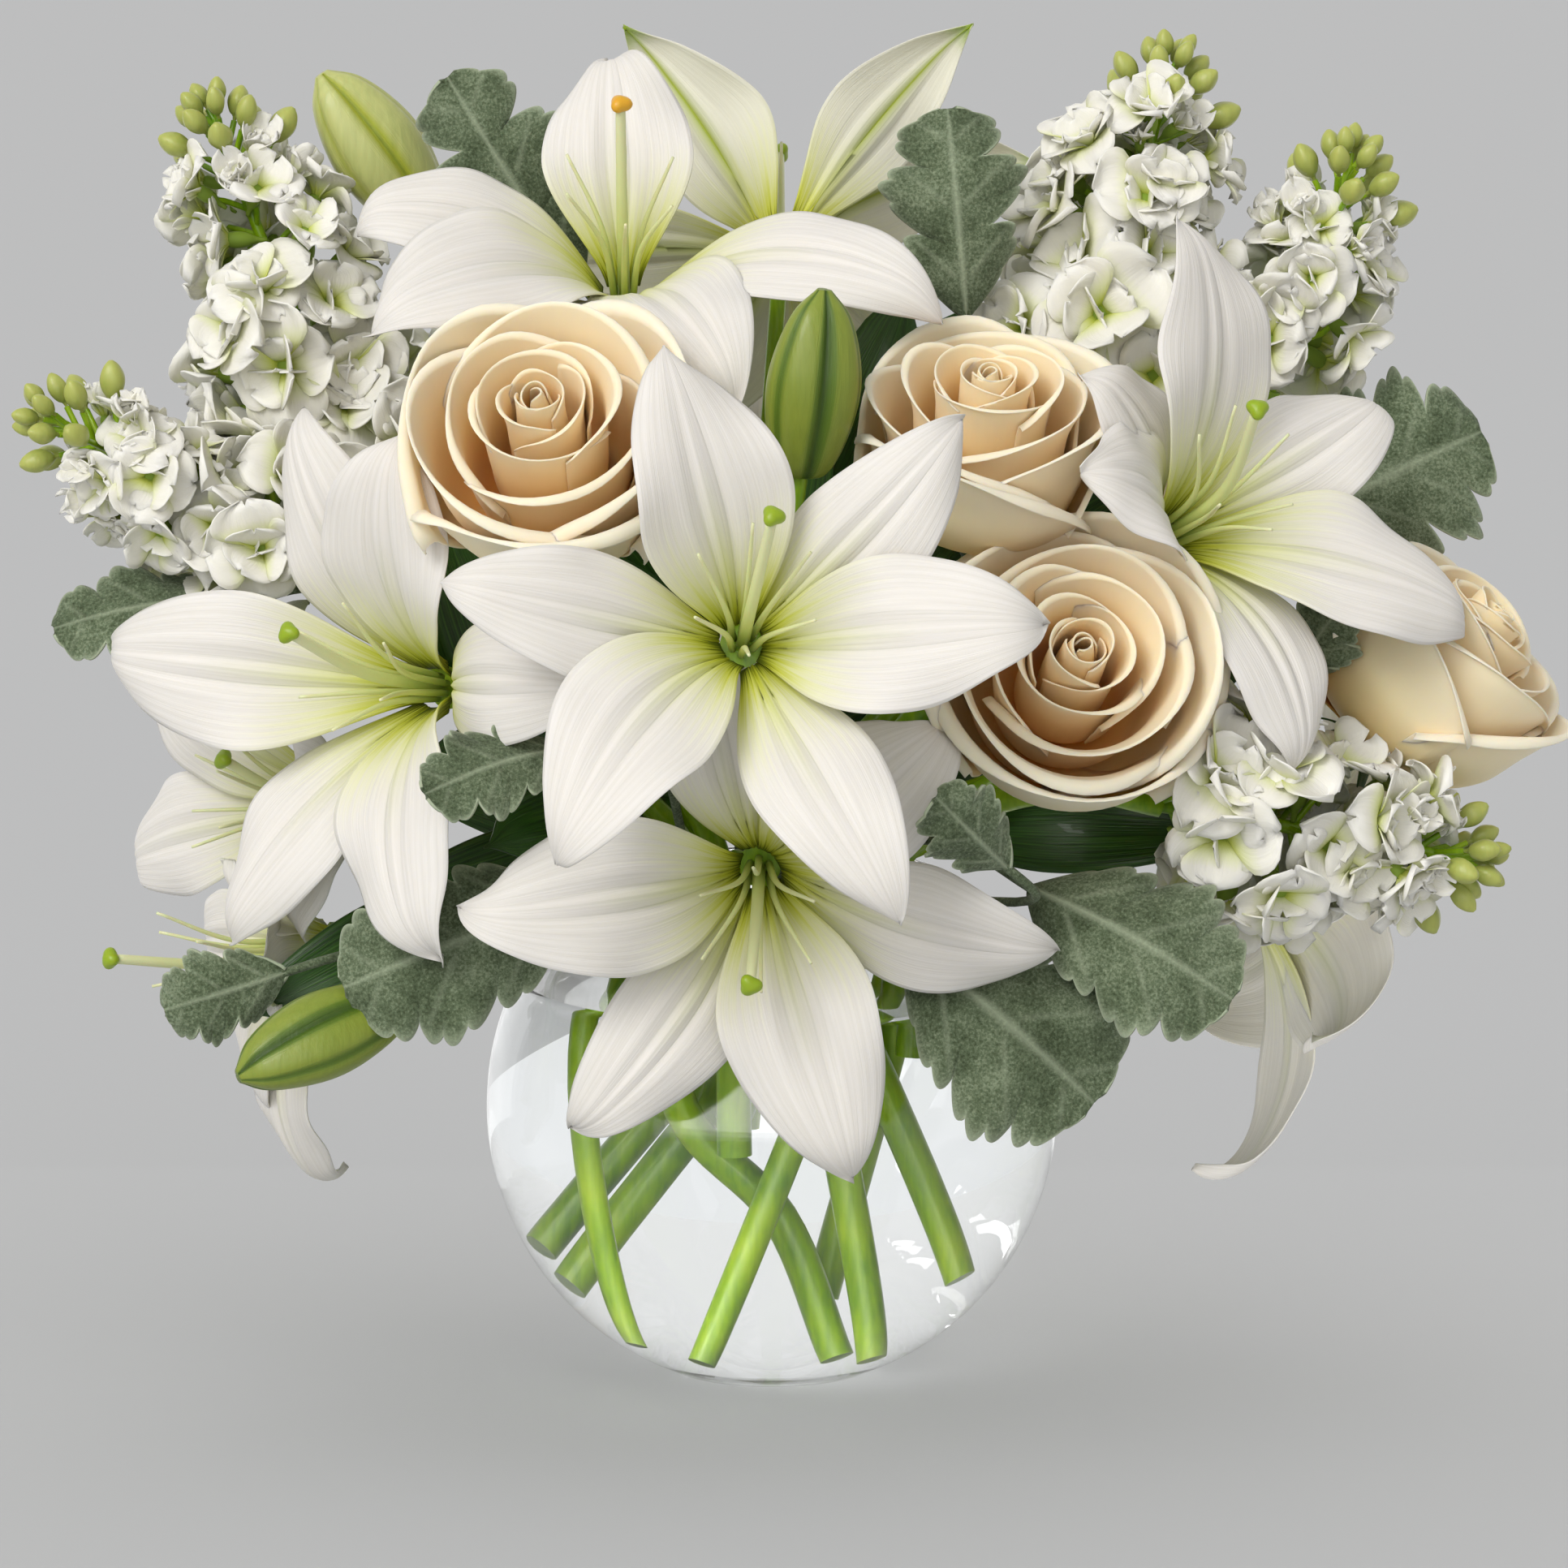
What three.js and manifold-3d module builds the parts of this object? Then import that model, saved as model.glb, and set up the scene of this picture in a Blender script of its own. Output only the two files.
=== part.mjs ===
// A round glass bowl of white lilies, cream roses and white stock with silver-grey foliage.
// Millimetres, +Z up. The origin is the centre of the bowl's flat foot, and the front of the
// bouquet faces -Y. Every cut stem stands in water, in a plain hole of its own.
import * as THREE from "three";
import { mergeVertices } from "three/addons/utils/BufferGeometryUtils.js";
import Module from "manifold-3d";

const wasm = await Module();
wasm.setup();

// ---------------------------------------------------------------- driving dimensions
const GAP = 0.35; // clearance between pieces that touch on the real thing
const MERGE_WITHIN = 0.12; // slivers left by joining are merged within this distance
const BOWL = {
  radius: 75, // outside of the round body
  centreHeight: 70,
  footRadius: 28,
  height: 130, // foot to rim
  wall: 3,
  sides: 20,
};
const WATER_LEVEL = 104;
const STEM_RADIUS = {
  lily: 3.1,
  rose: 2.8,
  stock: 2.7,
  stockTip: 1.9,
  dusty: 1.7,
  pedicel: 2.1, // a lily's flower stalk
  petiole: 1.2, // a leaf stalk
};
const STEM_SIDES = 6;
const STALK_SIDES = 5;
const LILY = {
  tepalLength: 92,
  inner: { halfWidth: 20, throatRadius: 4.8, throatAngle: 23, cup: 0.4, columns: [-1, 0, 1] },
  outer: { halfWidth: 14.5, throatRadius: 5.4, throatAngle: 33, cup: 0, columns: [-1, 1] },
  tipAngle: 104,
  thickness: 1,
  receptacle: { radius: 6, back: 3, front: 2 },
  style: { length: 60, rise: 12, radius: 1.4, stigmaRadius: 2.9 }, // it curves upwards by its rise
  filament: { count: 6, length: 47, radius: 0.9, rootOut: 2.6, tipOut: 17 },
};
// line: [how far a point follows the petal's edge, distance from the axis, height]
const ROSE = {
  columns: 15,
  heartHeight: 35,
  rings: [
    {
      petals: 5, shift: 0, step: 0.16, droop: 0.12,
      line: [[0, 9, 1], [0.3, 22, 12], [0.8, 26, 26], [1, 33, 33.5], [1, 32.4, 34.5], [0.5, 22.5, 22]],
    },
    {
      petals: 5, shift: 1.5, step: 0.16, droop: 0.1,
      line: [[0.5, 18.4, 23], [1, 21, 39], [1, 20, 39.6], [0.5, 15.4, 26]],
    },
    {
      petals: 3, shift: 2, step: 0.2, droop: 0.08,
      line: [[0.5, 12.6, 28], [1, 13, 43], [1, 12, 43.4]],
    },
  ],
};
const ROSE_HIP = { radius: 4.6, length: 9 };
const SEPAL = { count: 5, root: { out: 2, z: -3.4, half: 3 }, tip: { out: 17, z: -9, half: 0 } };
const STOCK = {
  coreRadius: 6.5,
  coreTipRadius: 4.4,
  taper: 0.55, // how much the head narrows towards its end
  floretLobes: 4,
  budSpread: 9,
  budRise: 8,
  tipLength: 14, // of bare stem past the last floret
};
const BLADE_THICKNESS = 0.9;
const LEAF_ARCH = 0.1; // rise of a leaf's rib, as a share of its length
const GOLDEN_ANGLE = 137.5;

// ---------------------------------------------------------------- where the blooms stand
// at: the top of the flower stalk. azimuth: 0 faces the front, 90 faces the right-hand side.
// elevation: above the horizon. tepals: [angle round the bloom, tip angle, length share].
const LILIES = {
  centre: {
    at: [-7, -104, 206], azimuth: 2, elevation: 14,
    tepals: [[-5, 104, 0.95], [43, 104, 0.88], [107, 104, 0.92], [173, 104, 0.9], [226, 104, 0.96],
      [294, 104, 0.95]],
  },
  low: {
    at: [-3, -72, 145], azimuth: 0, elevation: -4,
    tepals: [[47, 128, 0.8], [104, 138, 0.8], [182, 104, 0.96], [236, 104, 0.94], [288, 104, 0.97],
      [-4, 104, 0.9]],
  },
  left: {
    at: [-84, -46, 187], azimuth: -38, elevation: 8,
    tepals: [[180, 104, 1.05], [245, 104, 0.95], [299], [7], [79, 98, 0.85], [118, 110, 0.9]],
  },
  upper: {
    at: [-38, -3, 282], azimuth: 0, elevation: 48,
    tepals: [[93, 108, 0.78], [174, 112, 0.85], [215, 108], [256, 60, 0.55], [293, 112, 0.9],
      [338, 104, 1.1]],
  },
  right: {
    at: [99, -51, 226], azimuth: 42, elevation: 22,
    tepals: [[96, 104, 0.94], [150, 104, 0.7], [202, 104, 0.66], [272, 122, 0.96], [-38], [20, 104, 0.9]],
  },
  crown: {
    at: [2, 34, 292], azimuth: 180, elevation: 10,
    tepals: [[46, 70, 0.92], [133, 70, 0.94], [172, 82], [235], [292], [-10]],
  },
  leftSide: {
    at: [-112, 20, 146], azimuth: -84, elevation: 4,
    tepals: [[20, 100, 0.75], [80, 104, 0.7], [140, 104, 0.9], [200], [262, 125, 0.5], [325, 45, 0.42]],
  },
  leftLow: {
    at: [-116, -15, 115], azimuth: -62, elevation: -10,
    tepals: [[0, 60, 0.5], [46, 140, 0.7], [100, 60, 0.4], [180, 130, 0.6], [235, 130, 0.9],
      [280, 145, 1.05]],
  },
  rightLow: {
    at: [124, 14, 130], azimuth: 92, elevation: -15,
    tepals: [[70, 138], [20, 140], [-32, 140], [-87, 140], [-140, 132], [150, 60, 0.5]],
  },
  back: {
    at: [2, 78, 196], azimuth: 180, elevation: 10,
    tepals: [[30], [90], [150], [210], [270], [330]],
  },
};
const ROSES = {
  left: { at: [-54, -61, 234], azimuth: -5, elevation: 40, size: 1.08 },
  right: { at: [52, -48, 229], azimuth: 6, elevation: 62, size: 1.05 },
  front: { at: [71, -56, 181], azimuth: 8, elevation: 24, size: 1.12 },
  side: { at: [153, -17, 170], azimuth: 78, elevation: 45, size: 1.12 },
  backLeft: { at: [-66, 60, 210], azimuth: 215, elevation: 28, size: 1 },
  backRight: { at: [66, 58, 205], azimuth: 145, elevation: 26, size: 1 },
};
// from and to: the ends of the flowering length. radius: of the head where it is widest.
const STOCKS = {
  upperLeft: { from: [-108, 16, 232], to: [-140, 20, 314], radius: 36, florets: 9, buds: 5 },
  farLeft: { from: [-133, -10, 221], to: [-172, -20, 246], radius: 25, florets: 5, buds: 4 },
  upperRight: { from: [82, 14, 256], to: [100, 20, 326], radius: 36, florets: 9, buds: 5 },
  farRight: { from: [132, 20, 262], to: [146, 18, 302], radius: 22, florets: 5, buds: 4 },
  lowerRight: { from: [104, -58, 158], to: [164, -50, 146], radius: 33, florets: 8, buds: 5 },
};

// ---------------------------------------------------------------- how the stems run
// inBowl: the cut foot, any bend, and the place in the bowl's mouth. The stems cross as a
// hand-tied bunch does, so a foot on the left carries a bloom on the right.
const LILY_STEMS = {
  centre: {
    inBowl: [[23.5, -22, 13], [5, -15, 122]], fork: [2, -26, 166],
    blooms: ["centre", "upper"], buds: [{ from: [7, -78, 244], to: [13, -83, 291], radius: 13 }],
    leaves: [
      { base: [0, -30, 170], tip: [-62, -66, 190], halfWidth: 11, face: [0, -0.9, 0.4] },
      { base: [-5, -19, 182], tip: [14, -40, 284], halfWidth: 11, face: [0, -1, 0.2] },
    ],
  },
  low: {
    inBowl: [[-8, -26, 64], [-9, -28, 122]], fork: [-8, -41, 139],
    blooms: ["low"], buds: [{ from: [-93, -78, 112], to: [-132, -98, 97], radius: 11 }], leaves: [],
  },
  left: {
    inBowl: [[14, -14, 17], [1.5, -13, 49], [-18.6, -12, 71], [-26, -10, 122]], fork: [-46, -26, 146],
    blooms: ["left", "leftSide", "leftLow"], buds: [],
    leaves: [
      { base: [-44, -25, 144], tip: [-72, -70, 150], halfWidth: 12, face: [-0.3, -0.9, 0.3] },
      { base: [-61, -24, 170], tip: [-84, -36, 230], halfWidth: 10, face: [0, -1, 0.1] },
    ],
  },
  crown: {
    inBowl: [[40, -10, 34], [6, -8, 122]], fork: [-6, 10, 200],
    blooms: ["crown"], buds: [{ from: [-90, 38, 298], to: [-118, 32, 338], radius: 14 }], leaves: [],
  },
  right: {
    inBowl: [[-38, 10, 33], [25, 9, 122]], fork: [62, 0, 156],
    blooms: ["right", "rightLow"], buds: [],
    leaves: [
      { base: [66, -11, 176], tip: [72, -14, 224], halfWidth: 11, face: [0, -1, 0.1] },
      { base: [64, -2, 158], tip: [126, -22, 204], halfWidth: 10, face: [0, -0.9, 0.3] },
    ],
  },
  back: {
    inBowl: [[-6, 28, 60], [0, 29, 122]], fork: [0, 50, 160],
    blooms: ["back"], buds: [], leaves: [],
  },
};
const ROSE_STEMS = {
  left: { inBowl: [[-10, -8, 80], [-14, -10, 122]] },
  right: { inBowl: [[-8, -1, 66], [14, 1, 122]] },
  front: { inBowl: [[-17, -31, 12], [23.6, -23.5, 122]] },
  side: { inBowl: [[9.6, -1, 32], [34, -2, 122]] },
  backLeft: { inBowl: [[-17, 20, 86], [-18, 16, 122]] },
  backRight: { inBowl: [[16, 26, 64], [13, 28, 122]] },
};
const STOCK_STEMS = {
  upperLeft: { inBowl: [[-20, -4, 80], [-22, 0, 122]] },
  farLeft: { inBowl: [[-32.4, -22, 15.4], [-42, -18, 85], [-35, -4, 122]] },
  upperRight: { inBowl: [[-18, 2, 70], [3, 2, 122]] },
  farRight: { inBowl: [[-41, 18, 40], [20, 19, 122]] },
  lowerRight: { inBowl: [[30, -18, 84], [33, -13, 122]] },
};
// A leaf: base and tip of its rib, half width, and the way its upper face looks.
const DUSTY_SPRIGS = {
  frontLeft: {
    inBowl: [[-19, -22, 86], [-20, -24, 122]],
    leaves: [
      { base: [-48, -101, 180], tip: [-84, -118, 171], halfWidth: 13, face: [0.1, -0.8, 0.6] },
      { base: [-46, -84, 140], tip: [-106, -90, 118], halfWidth: 18, face: [0, -0.95, 0.3] },
      { base: [-134, -16, 205], tip: [-184, -24, 199], halfWidth: 14, face: [0, -0.8, 0.6] },
      { base: [-122, -63, 117], tip: [-153, -67, 108], halfWidth: 13, face: [0, -1, 0.1] },
    ],
  },
  frontRight: {
    inBowl: [[4, -29, 88], [2, -31, 122]],
    leaves: [
      { base: [34, -84, 128], tip: [80, -96, 90], halfWidth: 21, face: [0.1, -0.95, 0.3] },
      { base: [64, -82, 142], tip: [114, -96, 116], halfWidth: 19, face: [0.1, -0.9, 0.4] },
      { base: [58, -107, 151], tip: [40, -121, 171], halfWidth: 11, face: [0, -1, 0.1] },
    ],
  },
  top: {
    inBowl: [[-8, 8, 88], [-8, 8, 122]],
    leaves: [{ base: [50, -14, 278], tip: [45, -8, 331], halfWidth: 17, face: [0, -1, 0.1] }],
  },
  right: {
    inBowl: [[29, 23, 90], [30, 24, 122]],
    leaves: [
      { base: [130, 12, 225], tip: [182, 14, 248], halfWidth: 21, face: [-0.1, -1, 0.2] },
      { base: [131, -31, 187], tip: [143, -47, 207], halfWidth: 11, face: [0, -1, 0.1] },
    ],
  },
  left: {
    inBowl: [[-31, 6, 88], [-33, 7, 122]],
    leaves: [
      { base: [-50, 20, 284], tip: [-84, 16, 336], halfWidth: 14, face: [0, -1, 0] },
    ],
  },
};

// ---------------------------------------------------------------- small tools
const radians = THREE.MathUtils.degToRad;
const vector = (p) => new THREE.Vector3(...p);
const mix = (a, b, t) => a + (b - a) * t;

// A closed three.js geometry as a manifold-3d solid that faces out.
function solidOf(geometry) {
  const bare = geometry.clone();
  bare.deleteAttribute("normal");
  bare.deleteAttribute("uv");
  const merged = mergeVertices(bare, 1e-4);
  const corners = merged.index.array;
  const kept = [];
  for (let i = 0; i < corners.length; i += 3) {
    const [a, b, c] = corners.slice(i, i + 3);
    if (a !== b && b !== c && a !== c) kept.push(a, b, c);
  }
  const build = (triangles) =>
    new wasm.Manifold(
      new wasm.Mesh({
        numProp: 3,
        vertProperties: merged.attributes.position.array,
        triVerts: new Uint32Array(triangles),
      }),
    );
  const made = build(kept);
  if (made.volume() > 0) return made;
  for (let i = 0; i < kept.length; i += 3) [kept[i], kept[i + 1]] = [kept[i + 1], kept[i]];
  return build(kept);
}

const join = (solids) => solids.reduce((whole, next) => whole.add(next));

// The largest body of a solid: a hollow sealed by fusing is filled, and a loose scrap is dropped.
function mainBody(solid) {
  const bodies = solid.decompose().sort((a, b) => b.volume() - a.volume());
  return bodies[0];
}

function meshOf(name, solid, material) {
  const made = mainBody(solid).asOriginal().simplify(MERGE_WITHIN).getMesh();
  const geometry = new THREE.BufferGeometry();
  geometry.setAttribute("position", new THREE.BufferAttribute(made.vertProperties, 3));
  geometry.setIndex(new THREE.BufferAttribute(made.triVerts, 1));
  geometry.computeVertexNormals();
  const mesh = new THREE.Mesh(geometry, material);
  mesh.name = name;
  return mesh;
}

// A path whose rings stand at its own points, not at equal distances.
class PointPath extends THREE.CatmullRomCurve3 {
  getUtoTmapping(u) {
    return u;
  }
}

// Every stem passes this point, straight above its place in the bowl's mouth, before it bends.
const RIM_CLEARANCE = 8;
const aboveRim = ([x, y]) => [1.02 * x, 1.02 * y, BOWL.height + RIM_CLEARANCE];
const bend = (points, steps) =>
  new THREE.CatmullRomCurve3(points.map(vector), false, "centripetal").getPoints(steps);

// A tube of one radius, with a ring of corners at each point of its path.
function tube(points, radius, sides) {
  const outline = new THREE.Shape();
  outline.absarc(0, 0, radius, 0, 2 * Math.PI);
  const corners = outline.getSpacedPoints(sides).slice(0, sides);
  const extrudePath = new PointPath(points, false, "centripetal");
  const options = { steps: points.length - 1, extrudePath, bevelEnabled: false };
  return solidOf(new THREE.ExtrudeGeometry(new THREE.Shape(corners), options));
}

// A thin closed blade from a grid of { point, normal }, thickened half to each side.
function blade(rows, thickness) {
  const columns = rows[0].length;
  const positions = [];
  for (const side of [0.5, -0.5])
    for (const row of rows)
      for (const { point, normal } of row)
        positions.push(...point.clone().addScaledVector(normal, side * thickness).toArray());
  const at = (layer, r, c) => layer * rows.length * columns + r * columns + c;
  const index = [];
  for (let r = 0; r + 1 < rows.length; r++)
    for (let c = 0; c + 1 < columns; c++) {
      const flip = c < (columns - 1) / 2; // the diagonals lean towards the rib on both halves
      for (const layer of [0, 1]) {
        const [a, b] = [at(layer, r, c), at(layer, r, c + 1)];
        const [d, e] = [at(layer, r + 1, c), at(layer, r + 1, c + 1)];
        const faces = flip ? [a, b, e, a, e, d] : [a, b, d, b, e, d];
        index.push(...(layer === 0 ? faces : faces.reverse()));
      }
    }
  const rim = [];
  for (let c = 0; c < columns; c++) rim.push([0, c]);
  for (let r = 1; r < rows.length; r++) rim.push([r, columns - 1]);
  for (let c = columns - 2; c >= 0; c--) rim.push([rows.length - 1, c]);
  for (let r = rows.length - 2; r >= 1; r--) rim.push([r, 0]);
  rim.forEach(([r, c], i) => {
    const [nr, nc] = rim[(i + 1) % rim.length];
    const [a, b, d, e] = [at(0, r, c), at(0, nr, nc), at(1, r, c), at(1, nr, nc)];
    index.push(a, d, b, b, d, e);
  });
  const geometry = new THREE.BufferGeometry();
  geometry.setAttribute("position", new THREE.Float32BufferAttribute(positions, 3));
  geometry.setIndex(index);
  return solidOf(geometry);
}

// A closed form from rings of equally many corners, between a first and a last point.
function loft(first, rings, last) {
  const corners = rings[0].length;
  const points = [first, last, ...rings.flat()].flatMap((point) => point.toArray());
  const index = [];
  const at = (ring, corner) => 2 + ring * corners + (corner % corners);
  for (let corner = 0; corner < corners; corner++) {
    index.push(0, at(0, corner + 1), at(0, corner));
    index.push(1, at(rings.length - 1, corner), at(rings.length - 1, corner + 1));
    for (let ring = 0; ring + 1 < rings.length; ring++) {
      const [a, b] = [at(ring, corner), at(ring, corner + 1)];
      const [c, d] = [at(ring + 1, corner), at(ring + 1, corner + 1)];
      index.push(a, b, c, b, d, c);
    }
  }
  const geometry = new THREE.BufferGeometry();
  geometry.setAttribute("position", new THREE.Float32BufferAttribute(points, 3));
  geometry.setIndex(index);
  return solidOf(geometry);
}

function disc(radius, fromZ, toZ, sides) {
  const profile = [
    new THREE.Vector2(0, fromZ),
    new THREE.Vector2(radius, fromZ),
    new THREE.Vector2(radius, toZ),
    new THREE.Vector2(0, toZ),
  ];
  const geometry = new THREE.LatheGeometry(profile, sides);
  return solidOf(geometry.rotateX(Math.PI / 2));
}

// Turns a form made along +Z to face a bloom's way, and stands it at its place.
function facing({ at, azimuth, elevation }) {
  const [a, e] = [radians(azimuth), radians(elevation)];
  const right = new THREE.Vector3(Math.cos(a), Math.sin(a), 0);
  const front = new THREE.Vector3(Math.sin(a) * Math.cos(e), -Math.cos(a) * Math.cos(e), Math.sin(e));
  const up = front.clone().cross(right);
  return new THREE.Matrix4().makeBasis(right, up, front).setPosition(...at);
}

const placed = (solid, matrix) => solid.transform(matrix.elements);
const alongAxis = (bloom, distance) =>
  new THREE.Vector3(0, 0, distance).applyMatrix4(facing(bloom)).toArray();
const between = (from, to, share) => vector(from).lerp(vector(to), share).toArray();


// ---------------------------------------------------------------- bowl and water
function bowlArc(radius, fromHeight, toHeight, steps) {
  const [from, to] = [fromHeight, toHeight].map((z) => Math.asin((z - BOWL.centreHeight) / BOWL.radius));
  return Array.from({ length: steps + 1 }, (_, i) => {
    const angle = mix(from, to, i / steps);
    return new THREE.Vector2(radius * Math.cos(angle), BOWL.centreHeight + radius * Math.sin(angle));
  });
}

// The wetted arc of the glass and the water share their angles, so their faces run parallel.
const wettedArc = (radius) => bowlArc(radius, 2, WATER_LEVEL, 5);

function bowlGlass() {
  const inner = BOWL.radius - BOWL.wall;
  const [lowest] = wettedArc(inner);
  const profile = [
    new THREE.Vector2(0, 0),
    new THREE.Vector2(BOWL.footRadius, 0),
    ...bowlArc(BOWL.radius, 1.2, BOWL.height, 7),
    ...bowlArc(inner, WATER_LEVEL, BOWL.height, 2).reverse(),
    ...wettedArc(inner).slice(0, -1).reverse(),
    new THREE.Vector2(0, lowest.y),
  ];
  return solidOf(new THREE.LatheGeometry(profile, BOWL.sides).rotateX(Math.PI / 2));
}

function water(stems) {
  const arc = wettedArc(BOWL.radius - BOWL.wall - 1.1 * GAP);
  const profile = [new THREE.Vector2(0, arc[0].y), ...arc, new THREE.Vector2(0, arc.at(-1).y)];
  const body = solidOf(new THREE.LatheGeometry(profile, BOWL.sides).rotateX(Math.PI / 2));
  return stems.reduce((left, stem) => left.subtract(stem), body);
}

// The hole that a stem stands in runs a little past its cut foot.
function stemHole(inBowl, radius) {
  const [foot, next] = inBowl.map(vector);
  const past = foot.clone().addScaledVector(foot.clone().sub(next).normalize(), GAP);
  const outer = (radius + GAP) / Math.cos(Math.PI / STEM_SIDES);
  return tube([past, ...inBowl.slice(1).map(vector)], outer, STEM_SIDES);
}

// ---------------------------------------------------------------- lilies
// A tepal is a strip along a line that curls outwards. An inner one is cupped and in front
// of the two narrower outer ones beside it, which leave the throat at a wider angle.
function tepal(angle, kind, tipAngle, lengthShare) {
  const stations = 4;
  const fine = 8;
  const length = LILY.tepalLength * lengthShare;
  const [cos, sin] = [Math.cos(radians(angle)), Math.sin(radians(angle))];
  const lean = (s) => radians(mix(kind.throatAngle, tipAngle, s ** 1.25));
  const rows = [];
  let [r, z] = [kind.throatRadius, -1];
  for (let i = 0; i <= stations; i++) {
    const s = i / stations;
    const outline = 0.2 * (1 - s) + Math.sin(Math.PI * s ** 1.3) ** 1.3;
    const width = i === stations ? 0 : kind.halfWidth * outline;
    const cup = width * mix(kind.cup, -0.1, s);
    const [outwards, forwards] = [Math.sin(lean(s)), Math.cos(lean(s))];
    const row = kind.columns.map((side) => {
      const out = r - cup * Math.abs(side) * forwards;
      return {
        point: new THREE.Vector3(
          out * cos - side * width * sin,
          out * sin + side * width * cos,
          z + cup * Math.abs(side) * outwards,
        ),
        normal: new THREE.Vector3(-forwards * cos, -forwards * sin, outwards),
      };
    });
    rows.push(row);
    for (let k = 0; k < fine && i < stations; k++) {
      const part = (i + (k + 0.5) / fine) / stations;
      r += (Math.sin(lean(part)) * length) / (stations * fine);
      z += (Math.cos(lean(part)) * length) / (stations * fine);
    }
  }
  return blade(rows, LILY.thickness);
}

// The pale heart of a lily: bare filaments round a longer style with a knobbed stigma.
function lilyHeart() {
  const { style, filament } = LILY;
  const styleEnd = [0, style.rise, style.length];
  const column = tube([[0, 0, 0], [0, 0, style.length / 2], styleEnd].map(vector), style.radius, 4);
  const stigma = new THREE.SphereGeometry(style.stigmaRadius, 5, 3).rotateX(Math.PI / 2).translate(...styleEnd);
  const filaments = Array.from({ length: filament.count }, (_, i) => {
    const angle = (2 * Math.PI * (i + 0.5)) / filament.count;
    const at = (out, along) => new THREE.Vector3(out * Math.cos(angle), out * Math.sin(angle), along);
    return tube([at(filament.rootOut, 0), at(filament.tipOut, filament.length)], filament.radius, 3);
  });
  return join([column, solidOf(stigma), ...filaments]);
}

function lilyBloom(bloom) {
  const tepals = bloom.tepals.map(([angle, tipAngle = LILY.tipAngle, share = 1], i) =>
    tepal(angle, i % 2 === 0 ? LILY.inner : LILY.outer, tipAngle, share),
  );
  const { radius, back, front } = LILY.receptacle;
  return placed(join([disc(radius, -back, front, 8), lilyHeart(), ...tepals]), facing(bloom));
}

// [distance from the axis as a share of the radius, share of the length]
const BUD_OUTLINE = [[0, 0], [0.55, 0.03], [0.95, 0.3], [1, 0.55], [0.6, 0.88], [0, 1]];
const SMALL_BUD_OUTLINE = [[0, 0], [0.9, 0.3], [0.8, 0.7], [0, 1]];

function bud({ from, to, radius }, outline, sides) {
  const axis = vector(to).sub(vector(from));
  const length = axis.length();
  const profile = outline.map(([r, s]) => new THREE.Vector2(r * radius, s * length));
  const turn = new THREE.Quaternion().setFromUnitVectors(new THREE.Vector3(0, 1, 0), axis.normalize());
  return solidOf(new THREE.LatheGeometry(profile, sides).applyQuaternion(turn).translate(...from));
}

// A lily stem: foot to fork, then one stalk to each bloom and bud.
function lilyStem(stem) {
  const mouth = stem.inBowl.at(-1);
  const trunk = [...stem.inBowl, aboveRim(mouth), stem.fork].map(vector);
  const start = between(stem.fork, mouth, 0.08);
  const parts = [tube(trunk, STEM_RADIUS.lily, STEM_SIDES)];
  for (const name of stem.blooms) {
    const seat = -LILY.receptacle.back - GAP;
    const approach = [-30, -14, seat].map((distance) => alongAxis(LILIES[name], distance));
    parts.push(tube(bend([start, ...approach], 4), STEM_RADIUS.pedicel, STALK_SIDES));
  }
  for (const one of stem.buds) {
    const approach = [-0.4, 0.1].map((share) => between(one.from, one.to, share));
    parts.push(tube(bend([start, ...approach], 3), STEM_RADIUS.pedicel, STALK_SIDES));
    parts.push(bud(one, BUD_OUTLINE, 6));
  }
  return join([...parts, ...stem.leaves.map(lanceLeaf)]);
}

// ---------------------------------------------------------------- roses
// A rose is turned from one line that runs up the outside of each ring of petals, over their
// rims and down inside, ring after ring to the closed heart. Along a rim, every petal swells
// outwards and ends just outside the one beside it.
function rosePoint(ring, part, column) {
  const across = ROSE.columns / ring.petals;
  const u = ((column + ring.shift) % across) / (across - 1); // 0 to 1 across a petal
  const [share, r, z] = part;
  const out = r * (1 + share * ring.step * (u - 0.5));
  const rounded = 1 - share * ring.droop * (2 * u - 1) ** 2;
  const angle = (column / ROSE.columns) * 2 * Math.PI;
  return new THREE.Vector3(out * Math.cos(angle), out * Math.sin(angle), z * rounded);
}

function roseBloom(rose) {
  const rings = ROSE.rings.flatMap((ring) =>
    ring.line.map((part) =>
      Array.from({ length: ROSE.columns }, (_, column) => rosePoint(ring, part, column)),
    ),
  );
  const whole = loft(new THREE.Vector3(0, 0, GAP), rings, new THREE.Vector3(0, 0, ROSE.heartHeight));
  return placed(whole.scale(rose.size), facing(rose));
}

function roseStem(stem, rose) {
  const hip = disc(ROSE_HIP.radius, -ROSE_HIP.length, -GAP, 6);
  const sepals = Array.from({ length: SEPAL.count }, (_, i) => {
    const angle = (2 * Math.PI * i) / SEPAL.count;
    const edge = ({ out, z, half }, side) =>
      new THREE.Vector3(
        out * Math.cos(angle) - side * half * Math.sin(angle),
        out * Math.sin(angle) + side * half * Math.cos(angle),
        z,
      );
    const normal = new THREE.Vector3(0, 0, 1);
    const rows = [SEPAL.root, SEPAL.tip].map((end) => [-1, 1].map((side) => ({ point: edge(end, side), normal })));
    return blade(rows, BLADE_THICKNESS);
  });
  const approach = [-36, -16, -6].map((distance) => alongAxis(rose, distance));
  const upper = bend([aboveRim(stem.inBowl.at(-1)), ...approach], 4);
  const run = tube([...stem.inBowl.map(vector), ...upper], STEM_RADIUS.rose, STEM_SIDES);
  return run.add(placed(join([hip, ...sepals]), facing(rose)));
}

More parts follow.
